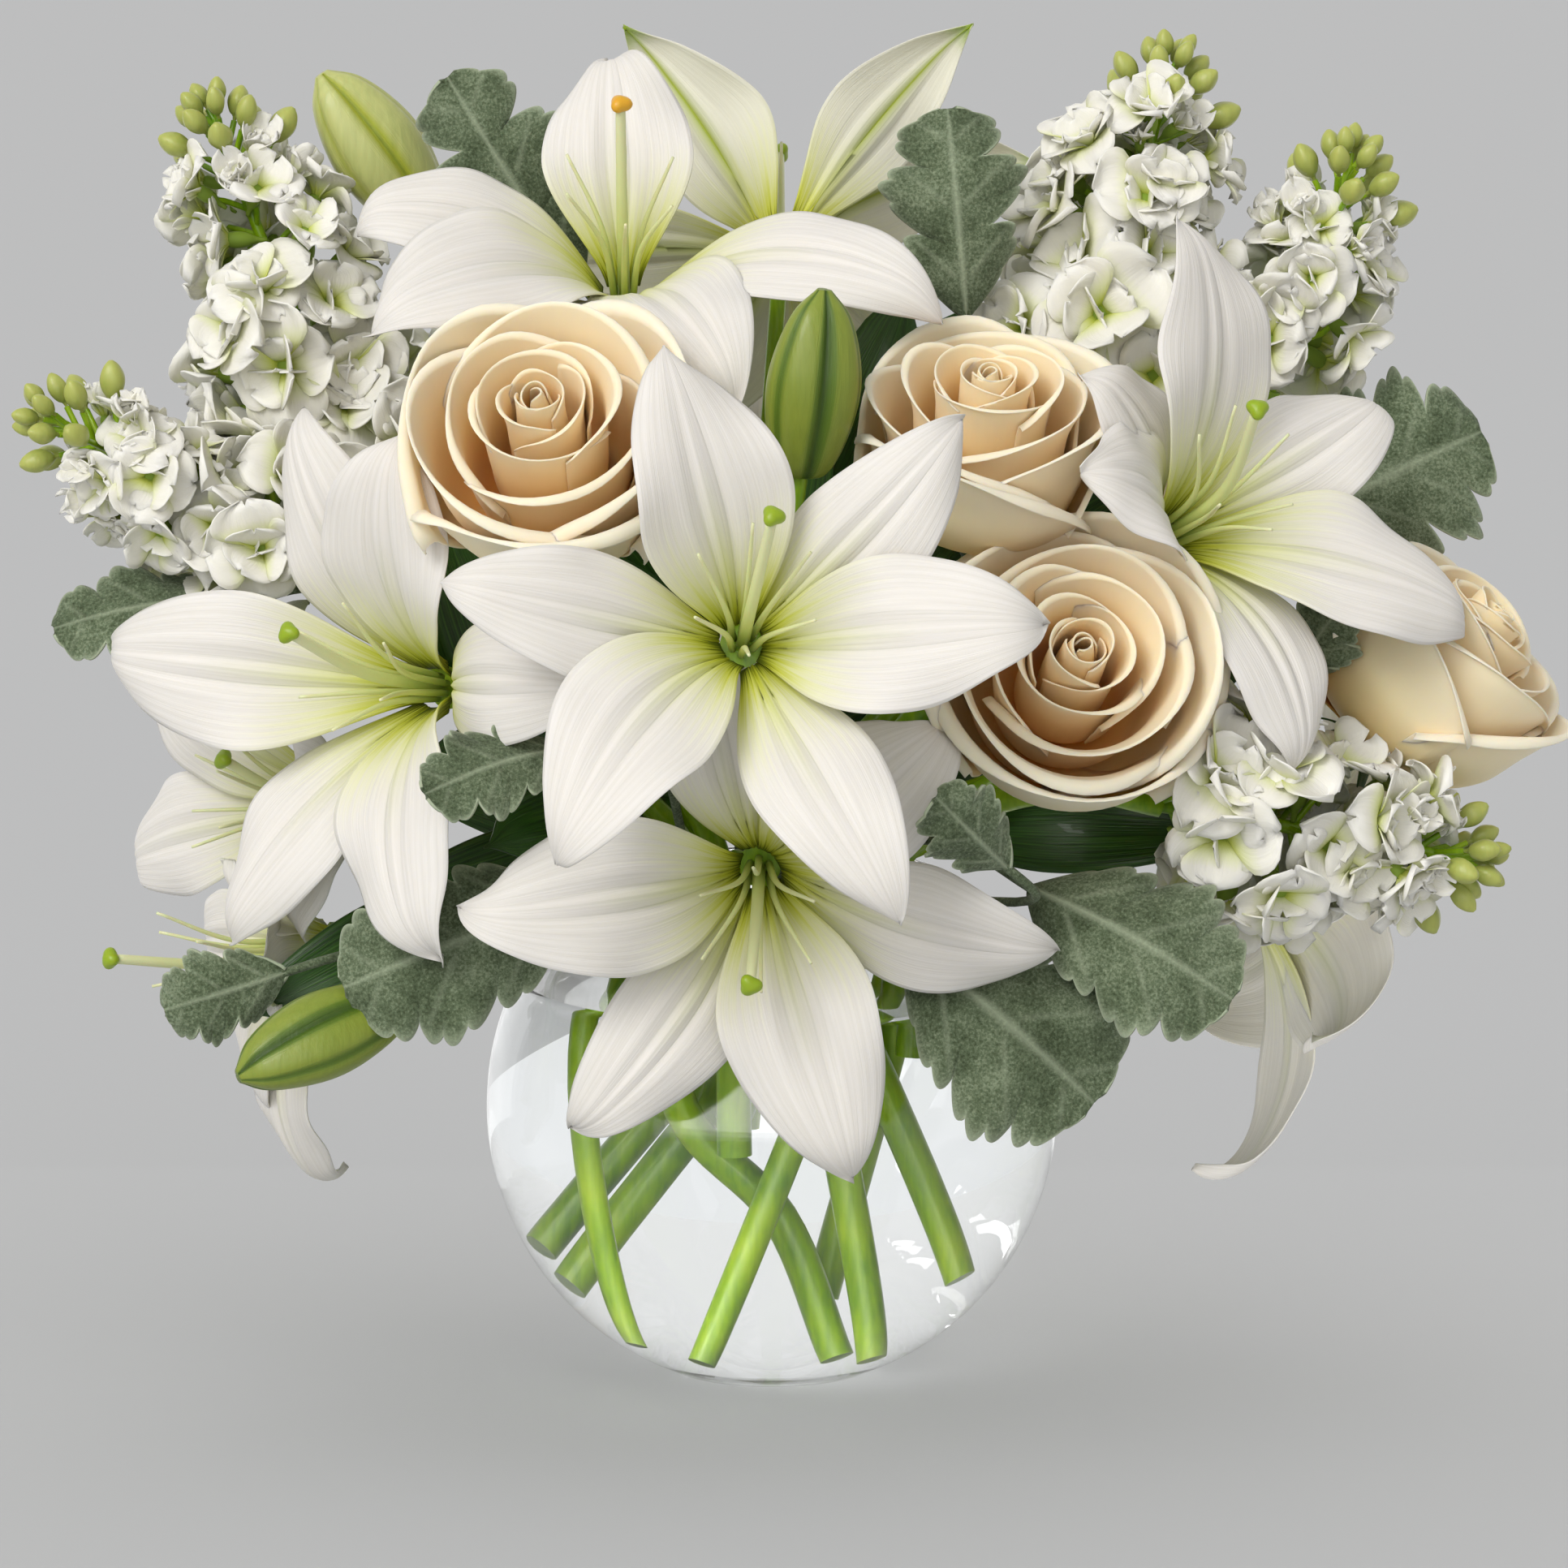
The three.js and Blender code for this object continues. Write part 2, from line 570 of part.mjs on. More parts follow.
// ---------------------------------------------------------------- stock
// A double floret: a funnel on the spike's axis, with a ruffled rim and a raised heart.
function floret(axisPoint, centre, radius, turn) {
  const outward = centre.clone().sub(axisPoint).normalize();
  const right = new THREE.Vector3(0, 0, 1).cross(outward).normalize();
  const up = outward.clone().cross(right);
  const ring = (tip, valley, rise) =>
    Array.from({ length: 2 * STOCK.floretLobes }, (_, i) => {
      const angle = radians(turn + (180 / STOCK.floretLobes) * i);
      const out = radius * (i % 2 === 0 ? tip : valley);
      return centre.clone()
        .addScaledVector(right, out * Math.cos(angle))
        .addScaledVector(up, out * Math.sin(angle))
        .addScaledVector(outward, i % 2 === 0 ? rise : 0.3 * rise);
    });
  const heart = centre.clone().addScaledVector(outward, 0.3 * radius);
  return loft(axisPoint, [ring(1, 0.72, 2), ring(1, 0.72, 3.2), ring(0.5, 0.44, -1)], heart);
}

// The core and the florets round it, largest and furthest out at the bottom.
function stockHead(stock) {
  const axis = vector(stock.to).sub(vector(stock.from));
  const length = axis.length();
  const turn = new THREE.Quaternion().setFromUnitVectors(new THREE.Vector3(0, 0, 1), axis.normalize());
  const frame = new THREE.Matrix4().makeRotationFromQuaternion(turn).setPosition(...stock.from);
  const reach = (share) => stock.radius * (1 - STOCK.taper * share ** 1.5);
  const outline = [
    [0, 0],
    [STOCK.coreRadius, 1],
    [STOCK.coreRadius, length * 0.7],
    [STOCK.coreTipRadius, length],
    [0, length],
  ];
  const core = new THREE.LatheGeometry(outline.map(([r, z]) => new THREE.Vector2(r, z)), 6);
  const parts = [solidOf(core.rotateX(Math.PI / 2))];
  for (let i = 0; i < stock.florets; i++) {
    const share = (i + 0.4) / stock.florets;
    const angle = radians(GOLDEN_ANGLE * i);
    const out = reach(share) * 0.72;
    const centre = new THREE.Vector3(out * Math.cos(angle), out * Math.sin(angle), share * length);
    const axisPoint = new THREE.Vector3(0, 0, Math.max(3, share * length - out * mix(0.1, 0.9, share)));
    parts.push(floret(axisPoint, centre, stock.radius * mix(0.58, 0.44, share), 25 * i));
  }
  const bore = disc(STEM_RADIUS.stockTip + 1.5 * GAP, -10, length + 10, 6);
  return placed(join(parts).subtract(bore), frame);
}

// Green buds crowd the end of a stock's stem, past its open florets.
function stockStem(stem, stock) {
  const axis = vector(stock.to).sub(vector(stock.from)).normalize();
  const below = (distance) => vector(stock.from).addScaledVector(axis, -distance);
  const beyond = (distance) => vector(stock.to).addScaledVector(axis, distance);
  const upper = bend([aboveRim(stem.inBowl.at(-1)), below(30).toArray(), below(6).toArray()], 3);
  const run = [...stem.inBowl.map(vector), ...upper];
  const parts = [
    tube(run, STEM_RADIUS.stock, STEM_SIDES),
    tube([below(8), beyond(STOCK.tipLength)], STEM_RADIUS.stockTip, STALK_SIDES),
  ];
  const side = new THREE.Vector3(0, 1, 0).cross(axis).normalize();
  const other = axis.clone().cross(side);
  for (let i = 0; i < stock.buds; i++) {
    const angle = radians(GOLDEN_ANGLE * i);
    const out = side.clone().multiplyScalar(Math.cos(angle)).addScaledVector(other, Math.sin(angle));
    const from = beyond(6 + (9 * i) / stock.buds);
    const to = from.clone().addScaledVector(out, STOCK.budSpread).addScaledVector(axis, STOCK.budRise);
    parts.push(bud({ from: from.toArray(), to: to.toArray(), radius: 3.2 }, SMALL_BUD_OUTLINE, 5));
  }
  const end = { from: beyond(10).toArray(), to: beyond(21).toArray(), radius: 3.6 };
  return join([...parts, bud(end, SMALL_BUD_OUTLINE, 5)]);
}

// ---------------------------------------------------------------- foliage
// A leaf's rib arches between its base and its tip. up is square to the rib.
function leafRib({ base, tip, face }) {
  const rib = vector(tip).sub(vector(base));
  const along = rib.clone().normalize();
  const up = vector(face).addScaledVector(along, -vector(face).dot(along)).normalize();
  const side = along.clone().cross(up);
  const middle = (s) => {
    const arch = LEAF_ARCH * rib.length() * Math.sin(Math.PI * s);
    return vector(base).addScaledVector(rib, s).addScaledVector(up, arch);
  };
  return { along, up, side, middle };
}

// A lily's own leaf: a narrow blade that arches from the stem.
function lanceLeaf(leaf) {
  const { up, side, middle } = leafRib(leaf);
  const widths = [0.35, 1, 0.85, 0];
  const rows = widths.map((width, i) =>
    [-1, 1].map((edge) => ({
      point: middle(i / (widths.length - 1)).addScaledVector(side, edge * width * leaf.halfWidth),
      normal: up,
    })),
  );
  return blade(rows, BLADE_THICKNESS);
}

// A lobed leaf: a strip along an arched rib, with its edge in rounded lobes.
function lobedLeaf(leaf) {
  const { along, up, side, middle } = leafRib(leaf);
  const stations = 6;
  const rows = [];
  for (let i = 0; i <= stations; i++) {
    const s = i / stations;
    const lobe = i % 2 === 0 ? 0.62 : 1.1;
    const body = 0.14 + 0.92 * Math.sin(Math.PI * s ** 1.15) ** 0.7;
    const width = i === stations ? 0 : leaf.halfWidth * body * lobe;
    rows.push(
      [-1, 0, 1].map((edge) => ({
        point: middle(s)
          .addScaledVector(side, edge * width)
          .addScaledVector(up, -Math.abs(edge) * width * 0.22)
          .addScaledVector(along, Math.abs(edge) * width * 0.3),
        normal: up,
      })),
    );
  }
  return blade(rows, BLADE_THICKNESS);
}

function dustySprig(sprig) {
  const top = aboveRim(sprig.inBowl.at(-1));
  const parts = [tube([...sprig.inBowl, top].map(vector), STEM_RADIUS.dusty, STEM_SIDES)];
  const start = between(top, sprig.inBowl.at(-1), 0.15);
  for (const leaf of sprig.leaves) {
    const approach = [-0.4, 0.05].map((share) => between(leaf.base, leaf.tip, share));
    parts.push(tube(bend([start, ...approach], 4), STEM_RADIUS.petiole, 3), lobedLeaf(leaf));
  }
  return join(parts);
}

// ---------------------------------------------------------------- materials
const material = (color, roughness, extra = {}) =>
  new THREE.MeshStandardMaterial({ color, roughness, metalness: 0, ...extra });
const glass = material("#e8eef2", 0.05, { transparent: true, opacity: 0.35 });
const waterLook = material("#e6f0f4", 0.05, { transparent: true, opacity: 0.3 });
const lilyWhite = material("#f6f4ee", 0.45);
const roseCream = material("#f9e2c0", 0.5);
const stockWhite = material("#f3f4ec", 0.55);
const stemGreen = material("#6f9a1c", 0.5);
const dustyGrey = material("#7d9484", 0.85);

// ---------------------------------------------------------------- the whole arrangement
const bouquet = new THREE.Group();
const holes = [];
const add = (name, solid, look) => bouquet.add(meshOf(name, solid, look));

for (const [name, stem] of Object.entries(LILY_STEMS)) {
  add(`lily_stem_${name}`, lilyStem(stem), stemGreen);
  holes.push(stemHole(stem.inBowl, STEM_RADIUS.lily));
}
for (const [name, bloom] of Object.entries(LILIES)) {
  add(`lily_${name}`, lilyBloom(bloom), lilyWhite);
}
for (const [name, rose] of Object.entries(ROSES)) {
  add(`rose_${name}`, roseBloom(rose), roseCream);
  add(`rose_stem_${name}`, roseStem(ROSE_STEMS[name], rose), stemGreen);
  holes.push(stemHole(ROSE_STEMS[name].inBowl, STEM_RADIUS.rose));
}
for (const [name, stock] of Object.entries(STOCKS)) {
  add(`stock_${name}`, stockHead(stock), stockWhite);
  add(`stock_stem_${name}`, stockStem(STOCK_STEMS[name], stock), stemGreen);
  holes.push(stemHole(STOCK_STEMS[name].inBowl, STEM_RADIUS.stock));
}
for (const [name, sprig] of Object.entries(DUSTY_SPRIGS)) {
  add(`dusty_sprig_${name}`, dustySprig(sprig), dustyGrey);
  holes.push(stemHole(sprig.inBowl, STEM_RADIUS.dusty));
}
add("bowl", bowlGlass(), glass);
add("water", water(holes), waterLook);

export default bouquet;
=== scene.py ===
"""The looks of a bouquet of lilies, roses and stock in a round glass bowl, as a Blender add-on.

Lengths in the tables are millimetres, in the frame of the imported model: +Z up, the front faces -Y.
Each table says where a bloom, stem or leaf stands, and the makers below give it its fine surface.
"""

import math

import bpy
import numpy as np
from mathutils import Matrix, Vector


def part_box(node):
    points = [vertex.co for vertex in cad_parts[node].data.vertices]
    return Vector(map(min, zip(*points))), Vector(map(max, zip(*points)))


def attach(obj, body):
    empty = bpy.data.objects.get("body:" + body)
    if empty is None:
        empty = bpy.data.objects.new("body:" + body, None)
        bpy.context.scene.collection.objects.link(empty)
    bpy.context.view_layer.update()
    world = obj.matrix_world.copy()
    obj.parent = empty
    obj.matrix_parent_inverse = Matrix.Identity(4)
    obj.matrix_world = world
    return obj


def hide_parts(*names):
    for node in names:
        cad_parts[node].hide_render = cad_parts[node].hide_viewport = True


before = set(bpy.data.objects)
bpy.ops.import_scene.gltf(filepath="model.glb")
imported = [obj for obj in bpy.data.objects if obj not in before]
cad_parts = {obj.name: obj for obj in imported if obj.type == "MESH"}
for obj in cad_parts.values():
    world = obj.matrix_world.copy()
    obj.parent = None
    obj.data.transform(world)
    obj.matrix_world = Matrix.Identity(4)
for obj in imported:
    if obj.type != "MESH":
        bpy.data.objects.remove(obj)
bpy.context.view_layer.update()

bl_info = {
    "name": "Lilies in a vase",
    "version": (1, 0, 0),
    "blender": (4, 5, 0),
    "location": "View3D > Sidebar > Bouquet",
    "description": "Builds a bouquet of lilies, roses and stock in a glass bowl of water",
    "category": "Add Mesh",
}

MM = 0.001
BODY = "root"
GOLDEN_ANGLE = math.radians(137.5)
UP = np.array([0, 0, 1.0])
# A direction that no stalk runs in, a length that counts as none, and the least radius of a turned form.
OFF_AXIS = (0.3, 0.9, 0.2)
TINY = 1e-9
AXIS = 0.01
# Where each group's random draws start.
LILY_SEED, LILY_LEAF_SEED, ROSE_SEED, DUSTY_SEED = 40, 70, 90, 120
FLORET_SEED, BUD_SEED, OPENING_SEED = 11, 5, 3

# ---------------------------------------------------------------- the bowl
_, BOWL_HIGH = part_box("bowl")
_, WATER_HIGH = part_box("water")
BOWL_RADIUS = 75
BOWL_CENTRE = 70
BOWL_HEIGHT = BOWL_HIGH.z / MM
FOOT_RADIUS = 28
FOOT_TOP = 3.5
GLASS_FLOOR = 5.2
WATER_LEVEL = WATER_HIGH.z / MM
# Every stem passes so far over the rim, a little further out than where it leaves the water.
RIM_CLEARANCE = 8
LEAN_OUT = 1.02

# ---------------------------------------------------------------- where the blooms stand
# at: top of the flower stalk. azimuth: 0 faces the front, 90 the right-hand side. elevation: above
# the horizon. green: how green the backs are. tepals: angle round the bloom, then the angle its tip
# reaches and its share of the full length where they aren't TIP_ANGLE and 1. style: how far its end
# stands to the right and up. style_share: of its full length. narrow: share of a tepal's full width.
# blunt: below 1 the tips are rounder.
TIP_ANGLE = 104
LILIES = {
    "centre": dict(
        at=(-7, -104, 206), azimuth=2, elevation=14, green=0.1, style=(6, 24.5),
        tepals=[(-5, 104, 0.95), (43, 104, 0.88), (107, 104, 0.92), (173, 104, 0.9), (226, 104, 0.96),
                (294, 104, 0.95)],
    ),
    "low": dict(
        at=(-3, -72, 145), azimuth=0, elevation=-4, green=0.1, style=(-2, -15),
        tepals=[(47, 128, 0.8), (104, 138, 0.8), (182, 104, 0.96), (236, 104, 0.94), (288, 104, 0.97),
                (-4, 104, 0.9)],
    ),
    "left": dict(
        at=(-84, -46, 187), azimuth=-38, elevation=8, green=0.1,
        tepals=[(180, 104, 1.05), (245, 104, 0.95), (299,), (7,), (79, 98, 0.85), (118, 110, 0.9)],
    ),
    "upper": dict(
        at=(-38, -3, 282), azimuth=0, elevation=48, green=0.1,
        tepals=[(93, 108, 0.78), (174, 112, 0.85), (215, 108), (256, 60, 0.55), (293, 112, 0.9),
                (338, 104, 1.1)],
    ),
    "right": dict(
        at=(99, -51, 226), azimuth=42, elevation=22, green=0.1, style=(-14, 17),
        tepals=[(96, 104, 0.94), (128, 100, 0.6), (168, 98, 0.64), (272, 118, 0.8), (-38, 104, 0.96),
                (20, 104, 0.8)],
    ),
    "crown": dict(
        at=(2, 34, 292), azimuth=180, elevation=10, green=1.0, narrow=0.86, blunt=1.0,
        tepals=[(46, 70, 0.92), (133, 70, 0.94), (172, 82), (235,), (292,), (-10,)],
    ),
    "leftSide": dict(
        at=(-112, 20, 146), azimuth=-68, elevation=4, green=0.3, style_share=0.62,
        tepals=[(20, 112, 0.6), (80, 104, 0.7), (140, 104, 0.9), (200,), (262, 125, 0.5),
                (325, 45, 0.42)],
    ),
    "leftLow": dict(
        at=(-116, -15, 115), azimuth=-62, elevation=-10, green=0.4,
        tepals=[(0, 60, 0.5), (46, 140, 0.7), (100, 60, 0.4), (180, 130, 0.6), (235, 130, 0.6),
                (273, 145, 0.8)],
    ),
    "rightLow": dict(
        at=(124, 14, 130), azimuth=108, elevation=-15, green=0.15, narrow=1.3, blunt=0.8,
        tepals=[(70, 138), (20, 140), (-32, 140), (-87, 134, 1.08), (-140, 132, 0.72), (150, 60, 0.5)],
    ),
    "back": dict(
        at=(2, 78, 196), azimuth=180, elevation=10, green=0.1,
        tepals=[(30,), (90,), (150,), (210,), (270,), (330,)],
    ),
}
# size: share of the full size. open: how far the outer petals stand out.
ROSES = {
    "left": dict(at=(-54, -61, 234), azimuth=-5, elevation=40, size=1.18, open=1.02),
    "right": dict(at=(52, -48, 229), azimuth=6, elevation=60, size=1.08),
    "front": dict(at=(71, -56, 181), azimuth=8, elevation=29, size=1.15, open=1.04),
    "side": dict(at=(153, -17, 170), azimuth=78, elevation=45, size=1.12),
    "backLeft": dict(at=(-66, 60, 210), azimuth=215, elevation=28, size=1),
    "backRight": dict(at=(66, 58, 205), azimuth=145, elevation=26, size=1),
}
# A rose petal's wall from its foot to its rim, as [radius, height] points, for the innermost petal,
# three between and the outermost; then the radius of its rolled rim and how far round it rolls, in degrees.
ROSE_WALLS = {
    0.0: [(1.2, 5), (3.6, 18), (3.5, 31), (2.4, 39), (1.3, 44)],
    0.25: [(2.3, 4), (6.2, 16), (6.8, 28), (6.8, 37), (7.2, 43.5)],
    0.5: [(3.1, 2), (11.6, 12), (13.6, 24), (14.4, 34), (16.8, 41.5)],
    0.75: [(4.0, 0), (17.8, 8), (22.0, 18), (23.8, 28.5), (27.0, 37.5)],
    1.0: [(4.0, -1), (20.4, 4), (26.8, 12), (29.0, 21.5), (32.4, 33)],
}
ROSE_ROLL = {0.0: (0.3, 20), 0.25: (0.5, 70), 0.5: (0.7, 90), 0.75: (1.0, 110), 1.0: (1.3, 120)}
# low and high: the ends of the flowering length. radius: of the head where it is widest.
STOCKS = {
    "upperLeft": dict(low=(-108, 16, 232), high=(-140, 20, 314), radius=39, florets=32, buds=15),
    "farLeft": dict(low=(-133, -10, 221), high=(-172, -20, 246), radius=27, florets=20, buds=14),
    "upperRight": dict(low=(82, 14, 256), high=(100, 20, 326), radius=39, florets=31, buds=14),
    "farRight": dict(low=(132, 20, 262), high=(146, 18, 302), radius=27, florets=19, buds=15),
    "lowerRight": dict(low=(104, -58, 158), high=(164, -50, 146), radius=36, florets=30, buds=15),
}

# ---------------------------------------------------------------- how the stems run
# Radii of the stems and stalks.
THICK = dict(lily=3.8, bloom=2.1, bloom_top=5.5, rose=3.5, stock=3.4, spike=2.2, spike_top=1.2, floret=0.8,
             sprig=1.7, leaf=1.2)
# bowl: the cut foot, any bend, and the place in the bowl's mouth. fork: where the blooms' stalks part.
# A bud runs from low to high, and is green at ripe 0 and pale at 1. A leaf runs from base to tip, with
# half its width, and its upper face looks the way that face says.
LILY_STEMS = {
    "centre": dict(
        bowl=[(23.5, -22, 13), (5, -15, 122)], fork=(2, -26, 166), blooms=["centre", "upper"],
        buds=[dict(low=(7, -78, 244), high=(13, -83, 291), radius=11.5, ripe=0)],
        leaves=[
            dict(base=(0, -30, 170), tip=(-62, -66, 190), half=14, face=(0, -0.9, 0.4)),
            dict(base=(-5, -19, 182), tip=(14, -40, 284), half=11, face=(0, -1, 0.2)),
            dict(base=(4, -15, 214), tip=(36, -20, 288), half=12, face=(0, -1, 0.1)),
        ],
    ),
    "low": dict(
        bowl=[(-8, -26, 64), (-9, -28, 122)], fork=(-8, -41, 139), blooms=["low"],
        buds=[dict(low=(-93, -78, 112), high=(-132, -98, 97), radius=11, ripe=0)], leaves=[],
    ),
    "left": dict(
        bowl=[(14, -14, 17), (1.5, -13, 49), (-18.6, -12, 71), (-26, -10, 122)], fork=(-46, -26, 146),
        blooms=["left", "leftSide", "leftLow"], buds=[],
        leaves=[
            dict(base=(-44, -25, 144), tip=(-72, -70, 150), half=12, face=(-0.3, -0.9, 0.3)),
            dict(base=(-61, -24, 170), tip=(-86, -34, 238), half=14, face=(0, -1, 0.1)),
            dict(base=(-44, -26, 142), tip=(-104, -50, 128), half=13, face=(0, -1, 0.1)),
            dict(base=(-80, -34, 130), tip=(-134, -56, 104), half=11, face=(0, -1, 0.1)),
        ],
    ),
    "crown": dict(
        bowl=[(40, -10, 34), (6, -8, 122)], fork=(-6, 10, 200), blooms=["crown"],
        buds=[dict(low=(-90, 38, 298), high=(-118, 32, 338), radius=12.3, ripe=1)], leaves=[],
    ),
    "right": dict(
        bowl=[(-38, 10, 33), (25, 9, 122)], fork=(62, 0, 156), blooms=["right", "rightLow"], buds=[],
        leaves=[
            dict(base=(66, -11, 176), tip=(76, -14, 234), half=14, face=(0, -1, 0.1)),
            dict(base=(72, -14, 180), tip=(112, -26, 232), half=14, face=(0, -1, 0.1)),
            dict(base=(64, -2, 158), tip=(130, -22, 202), half=15, face=(0, -0.9, 0.3)),
            dict(base=(50, -10, 146), tip=(120, -30, 148), half=14, face=(0, -0.9, 0.3)),
        ],
    ),
    "back": dict(
        bowl=[(-6, 28, 60), (0, 29, 122)], fork=(0, 50, 160), blooms=["back"], buds=[],
        leaves=[
            dict(base=(-8, 32, 165), tip=(-92, 18, 222), half=22, face=(0, -1, 0.1)),
            dict(base=(-6, 30, 190), tip=(-66, 20, 272), half=20, face=(0, -1, 0.1)),
            dict(base=(6, 30, 190), tip=(52, 20, 280), half=20, face=(0, -1, 0.1)),
            dict(base=(8, 32, 165), tip=(104, 20, 236), half=22, face=(0, -1, 0.1)),
            dict(base=(-10, 26, 148), tip=(-98, 10, 158), half=20, face=(0, -1, 0.1)),
            dict(base=(10, 26, 148), tip=(98, 8, 172), half=20, face=(0, -1, 0.1)),
        ],
    ),
}
ROSE_STEMS = {
    "left": [(-10, -8, 80), (-14, -10, 122)],
    "right": [(-8, -1, 66), (14, 1, 122)],
    "front": [(-17, -31, 12), (23.6, -23.5, 122)],
    "side": [(9.6, -1, 32), (34, -2, 122)],
    "backLeft": [(-17, 20, 86), (-18, 16, 122)],
    "backRight": [(16, 26, 64), (13, 28, 122)],
}
STOCK_STEMS = {
    "upperLeft": [(-20, -4, 80), (-22, 0, 122)],
    "farLeft": [(-32.4, -22, 15.4), (-42, -18, 85), (-35, -4, 122)],
    "upperRight": [(-18, 2, 70), (3, 2, 122)],
    "farRight": [(-41, 18, 40), (20, 19, 122)],
    "lowerRight": [(30, -18, 84), (33, -13, 122)],
}
# lobes: on each side of a leaf, 3 where not said. depth: how deep they are cut, as a share of its width.
DUSTY_SPRIGS = {
    "frontLeft": dict(
        bowl=[(-19, -22, 86), (-20, -24, 122)],
        leaves=[
            dict(base=(-48, -101, 180), tip=(-84, -118, 171), half=13, face=(0.1, -0.8, 0.6)),
            dict(base=(-46, -84, 140), tip=(-106, -90, 118), half=21, face=(0, -0.95, 0.3), depth=0.25),
            dict(base=(-134, -16, 205), tip=(-184, -24, 199), half=14, face=(0, -0.8, 0.6)),
            dict(base=(-122, -63, 117), tip=(-153, -67, 108), half=13, face=(0, -1, 0.1)),
        ],
    ),
    "frontRight": dict(
        bowl=[(4, -29, 88), (2, -31, 122)],
        leaves=[
            dict(base=(34, -84, 128), tip=(80, -96, 90), half=26, face=(0.1, -0.95, 0.3), depth=0.24),
            dict(base=(64, -82, 142), tip=(114, -96, 116), half=23, face=(0.1, -0.9, 0.4), depth=0.26),
            dict(base=(58, -107, 151), tip=(40, -121, 171), half=11, face=(0, -1, 0.1)),
        ],
    ),
    "top": dict(
        bowl=[(-8, 8, 88), (-8, 8, 122)],
        leaves=[dict(base=(50, -14, 278), tip=(45, -8, 331), half=19, face=(0, -1, 0.1), depth=0.5)],
    ),
    "right": dict(
        bowl=[(29, 23, 90), (30, 24, 122)],
        leaves=[
            dict(base=(128, 10, 218), tip=(185, 12, 246), half=27, lobes=4, depth=0.4, face=(-0.1, -1, 0.2)),
            dict(base=(131, -31, 187), tip=(143, -47, 207), half=11, face=(0, -1, 0.1)),
        ],
    ),
    "left": dict(
        bowl=[(-31, 6, 88), (-33, 7, 122)],
        leaves=[dict(base=(-50, 20, 284), tip=(-84, 16, 338), half=18, face=(0, -1, 0), depth=0.62)],
    ),
}


# ---------------------------------------------------------------- what a user would change
def linear(code):
    """The linear colour of an sRGB hex code."""
    parts = [int(code[i:i + 2], 16) / 255 for i in (1, 3, 5)]
    return [c / 12.92 if c <= 0.04045 else ((c + 0.055) / 1.055) ** 2.4 for c in parts]


def size(name, text, default, low, high):
    """A length property, stored in metres."""
    return bpy.props.FloatProperty(
        name=name, description=text, default=default * MM, min=low * MM, max=high * MM,
        unit="LENGTH", subtype="DISTANCE",
    )


def colour(name, text, code):
    """A colour property, stored linear."""
    return bpy.props.FloatVectorProperty(
        name=name, description=text, default=linear(code), subtype="COLOR", size=3, min=0, max=1
    )


class BouquetSizes(bpy.types.PropertyGroup):
    """Sizes of the blooms, leaves and bowl."""

    tepal_length: size("Tepal length", "Length of a full-grown lily tepal", 92, 60, 120)
    inner_width: size("Inner tepal width", "Half width of the three broad tepals", 20, 10, 26)
    outer_width: size("Outer tepal width", "Half width of the three narrow tepals", 16.5, 8, 20)
    tepal_wave: size("Tepal wave", "How far a tepal's edges wave", 2.4, 0, 5)
    groove: size("Rib groove", "Depth of the groove along a tepal's rib", 1.2, 0, 2)
    style_length: size("Style length", "Length of a lily's style", 60, 30, 80)
    filament_length: size("Filament length", "Length of a lily's filaments", 47, 20, 60)
    rose_radius: size("Rose radius", "Radius of a rose across its widest petals", 27, 15, 35)
    rose_petals: bpy.props.IntProperty(
        name="Rose petals", description="Petals in each rose", default=17, min=12, max=40
    )
    floret_petal: size("Floret petal", "Length of a stock floret's outer petals", 18, 6, 22)
    leaf_ruffle: size("Leaf ruffle", "How far a dusty miller leaf's edge ripples", 1.5, 0, 4)
    glass_wall: size("Glass wall", "Thickness of the bowl", 3, 2, 6)


class BouquetColours(bpy.types.PropertyGroup):
    """Colours of the petals, leaves, stems and stage."""

    lily_white: colour("Lily white", "Face of a lily tepal", "#f6f3f0")
    # The veins' own grey, deepened into painted shade along the tepal.
    lily_vein_shade: colour("Lily vein", "Veins and furrows of a tepal", "#c2beb2")
    lily_throat: colour("Lily throat", "Base of a tepal", "#c8cc1c")
    # The throat's deep green, darkened into painted shade where the tepals meet.
    lily_throat_shade: colour("Lily depth", "Deepest part of a lily's throat", "#3d4f0c")
    lily_back: colour("Lily back", "Outside of an unripe tepal", "#dcdcc2")
    rose_rim: colour("Rose rim", "Rim of a rose petal", "#fff1dc")
    rose_cream: colour("Rose cream", "Face of a rose petal", "#ffebcd")
    # The peach of a petal's foot is partly the rose's own colour and partly painted shade in its folds.
    rose_peach: colour("Rose peach", "Foot of a rose petal", "#ffd99a")
    stock_white: colour("Stock white", "Petals of the stock", "#e9e7dc")
    stock_heart: colour("Stock heart", "Foot of a stock petal", "#c6cf62")
    stem_green: colour("Stem green", "Cut stems and stalks", "#8bb208")
    bud_green: colour("Bud green", "Unripe lily buds", "#3f590c")
    bud_ripe: colour("Ripe bud", "A lily bud that is about to open", "#c2c640")
    leaf_green: colour("Leaf green", "Narrow lily leaves", "#2f5a18")
    felt_pale: colour("Pale felt", "Hairs and ribs of dusty miller leaves", "#8f9c80")
    felt_dark: colour("Dark felt", "Hollows of dusty miller leaves", "#3c4830")
    floor: colour("Floor", "Plain studio floor", "#c6c8ca")


# ---------------------------------------------------------------- small tools
def mix(a, b, t):
    """a at t = 0, b at t = 1, and in a straight line between and beyond."""
    return a + (b - a) * t


def step(low, high, x):
    """0 below low, 1 above high, smooth between."""
    t = np.clip((x - low) / (high - low), 0, 1)
    return t * t * (3 - 2 * t)


def bump(x, centre, width):
    """1 at the centre, falling off smoothly within about the width."""
    return np.exp(-(((x - centre) / width) ** 2))


def unit(v):
    """v at length 1."""
    v = np.asarray(v, float)
    return v / np.linalg.norm(v)


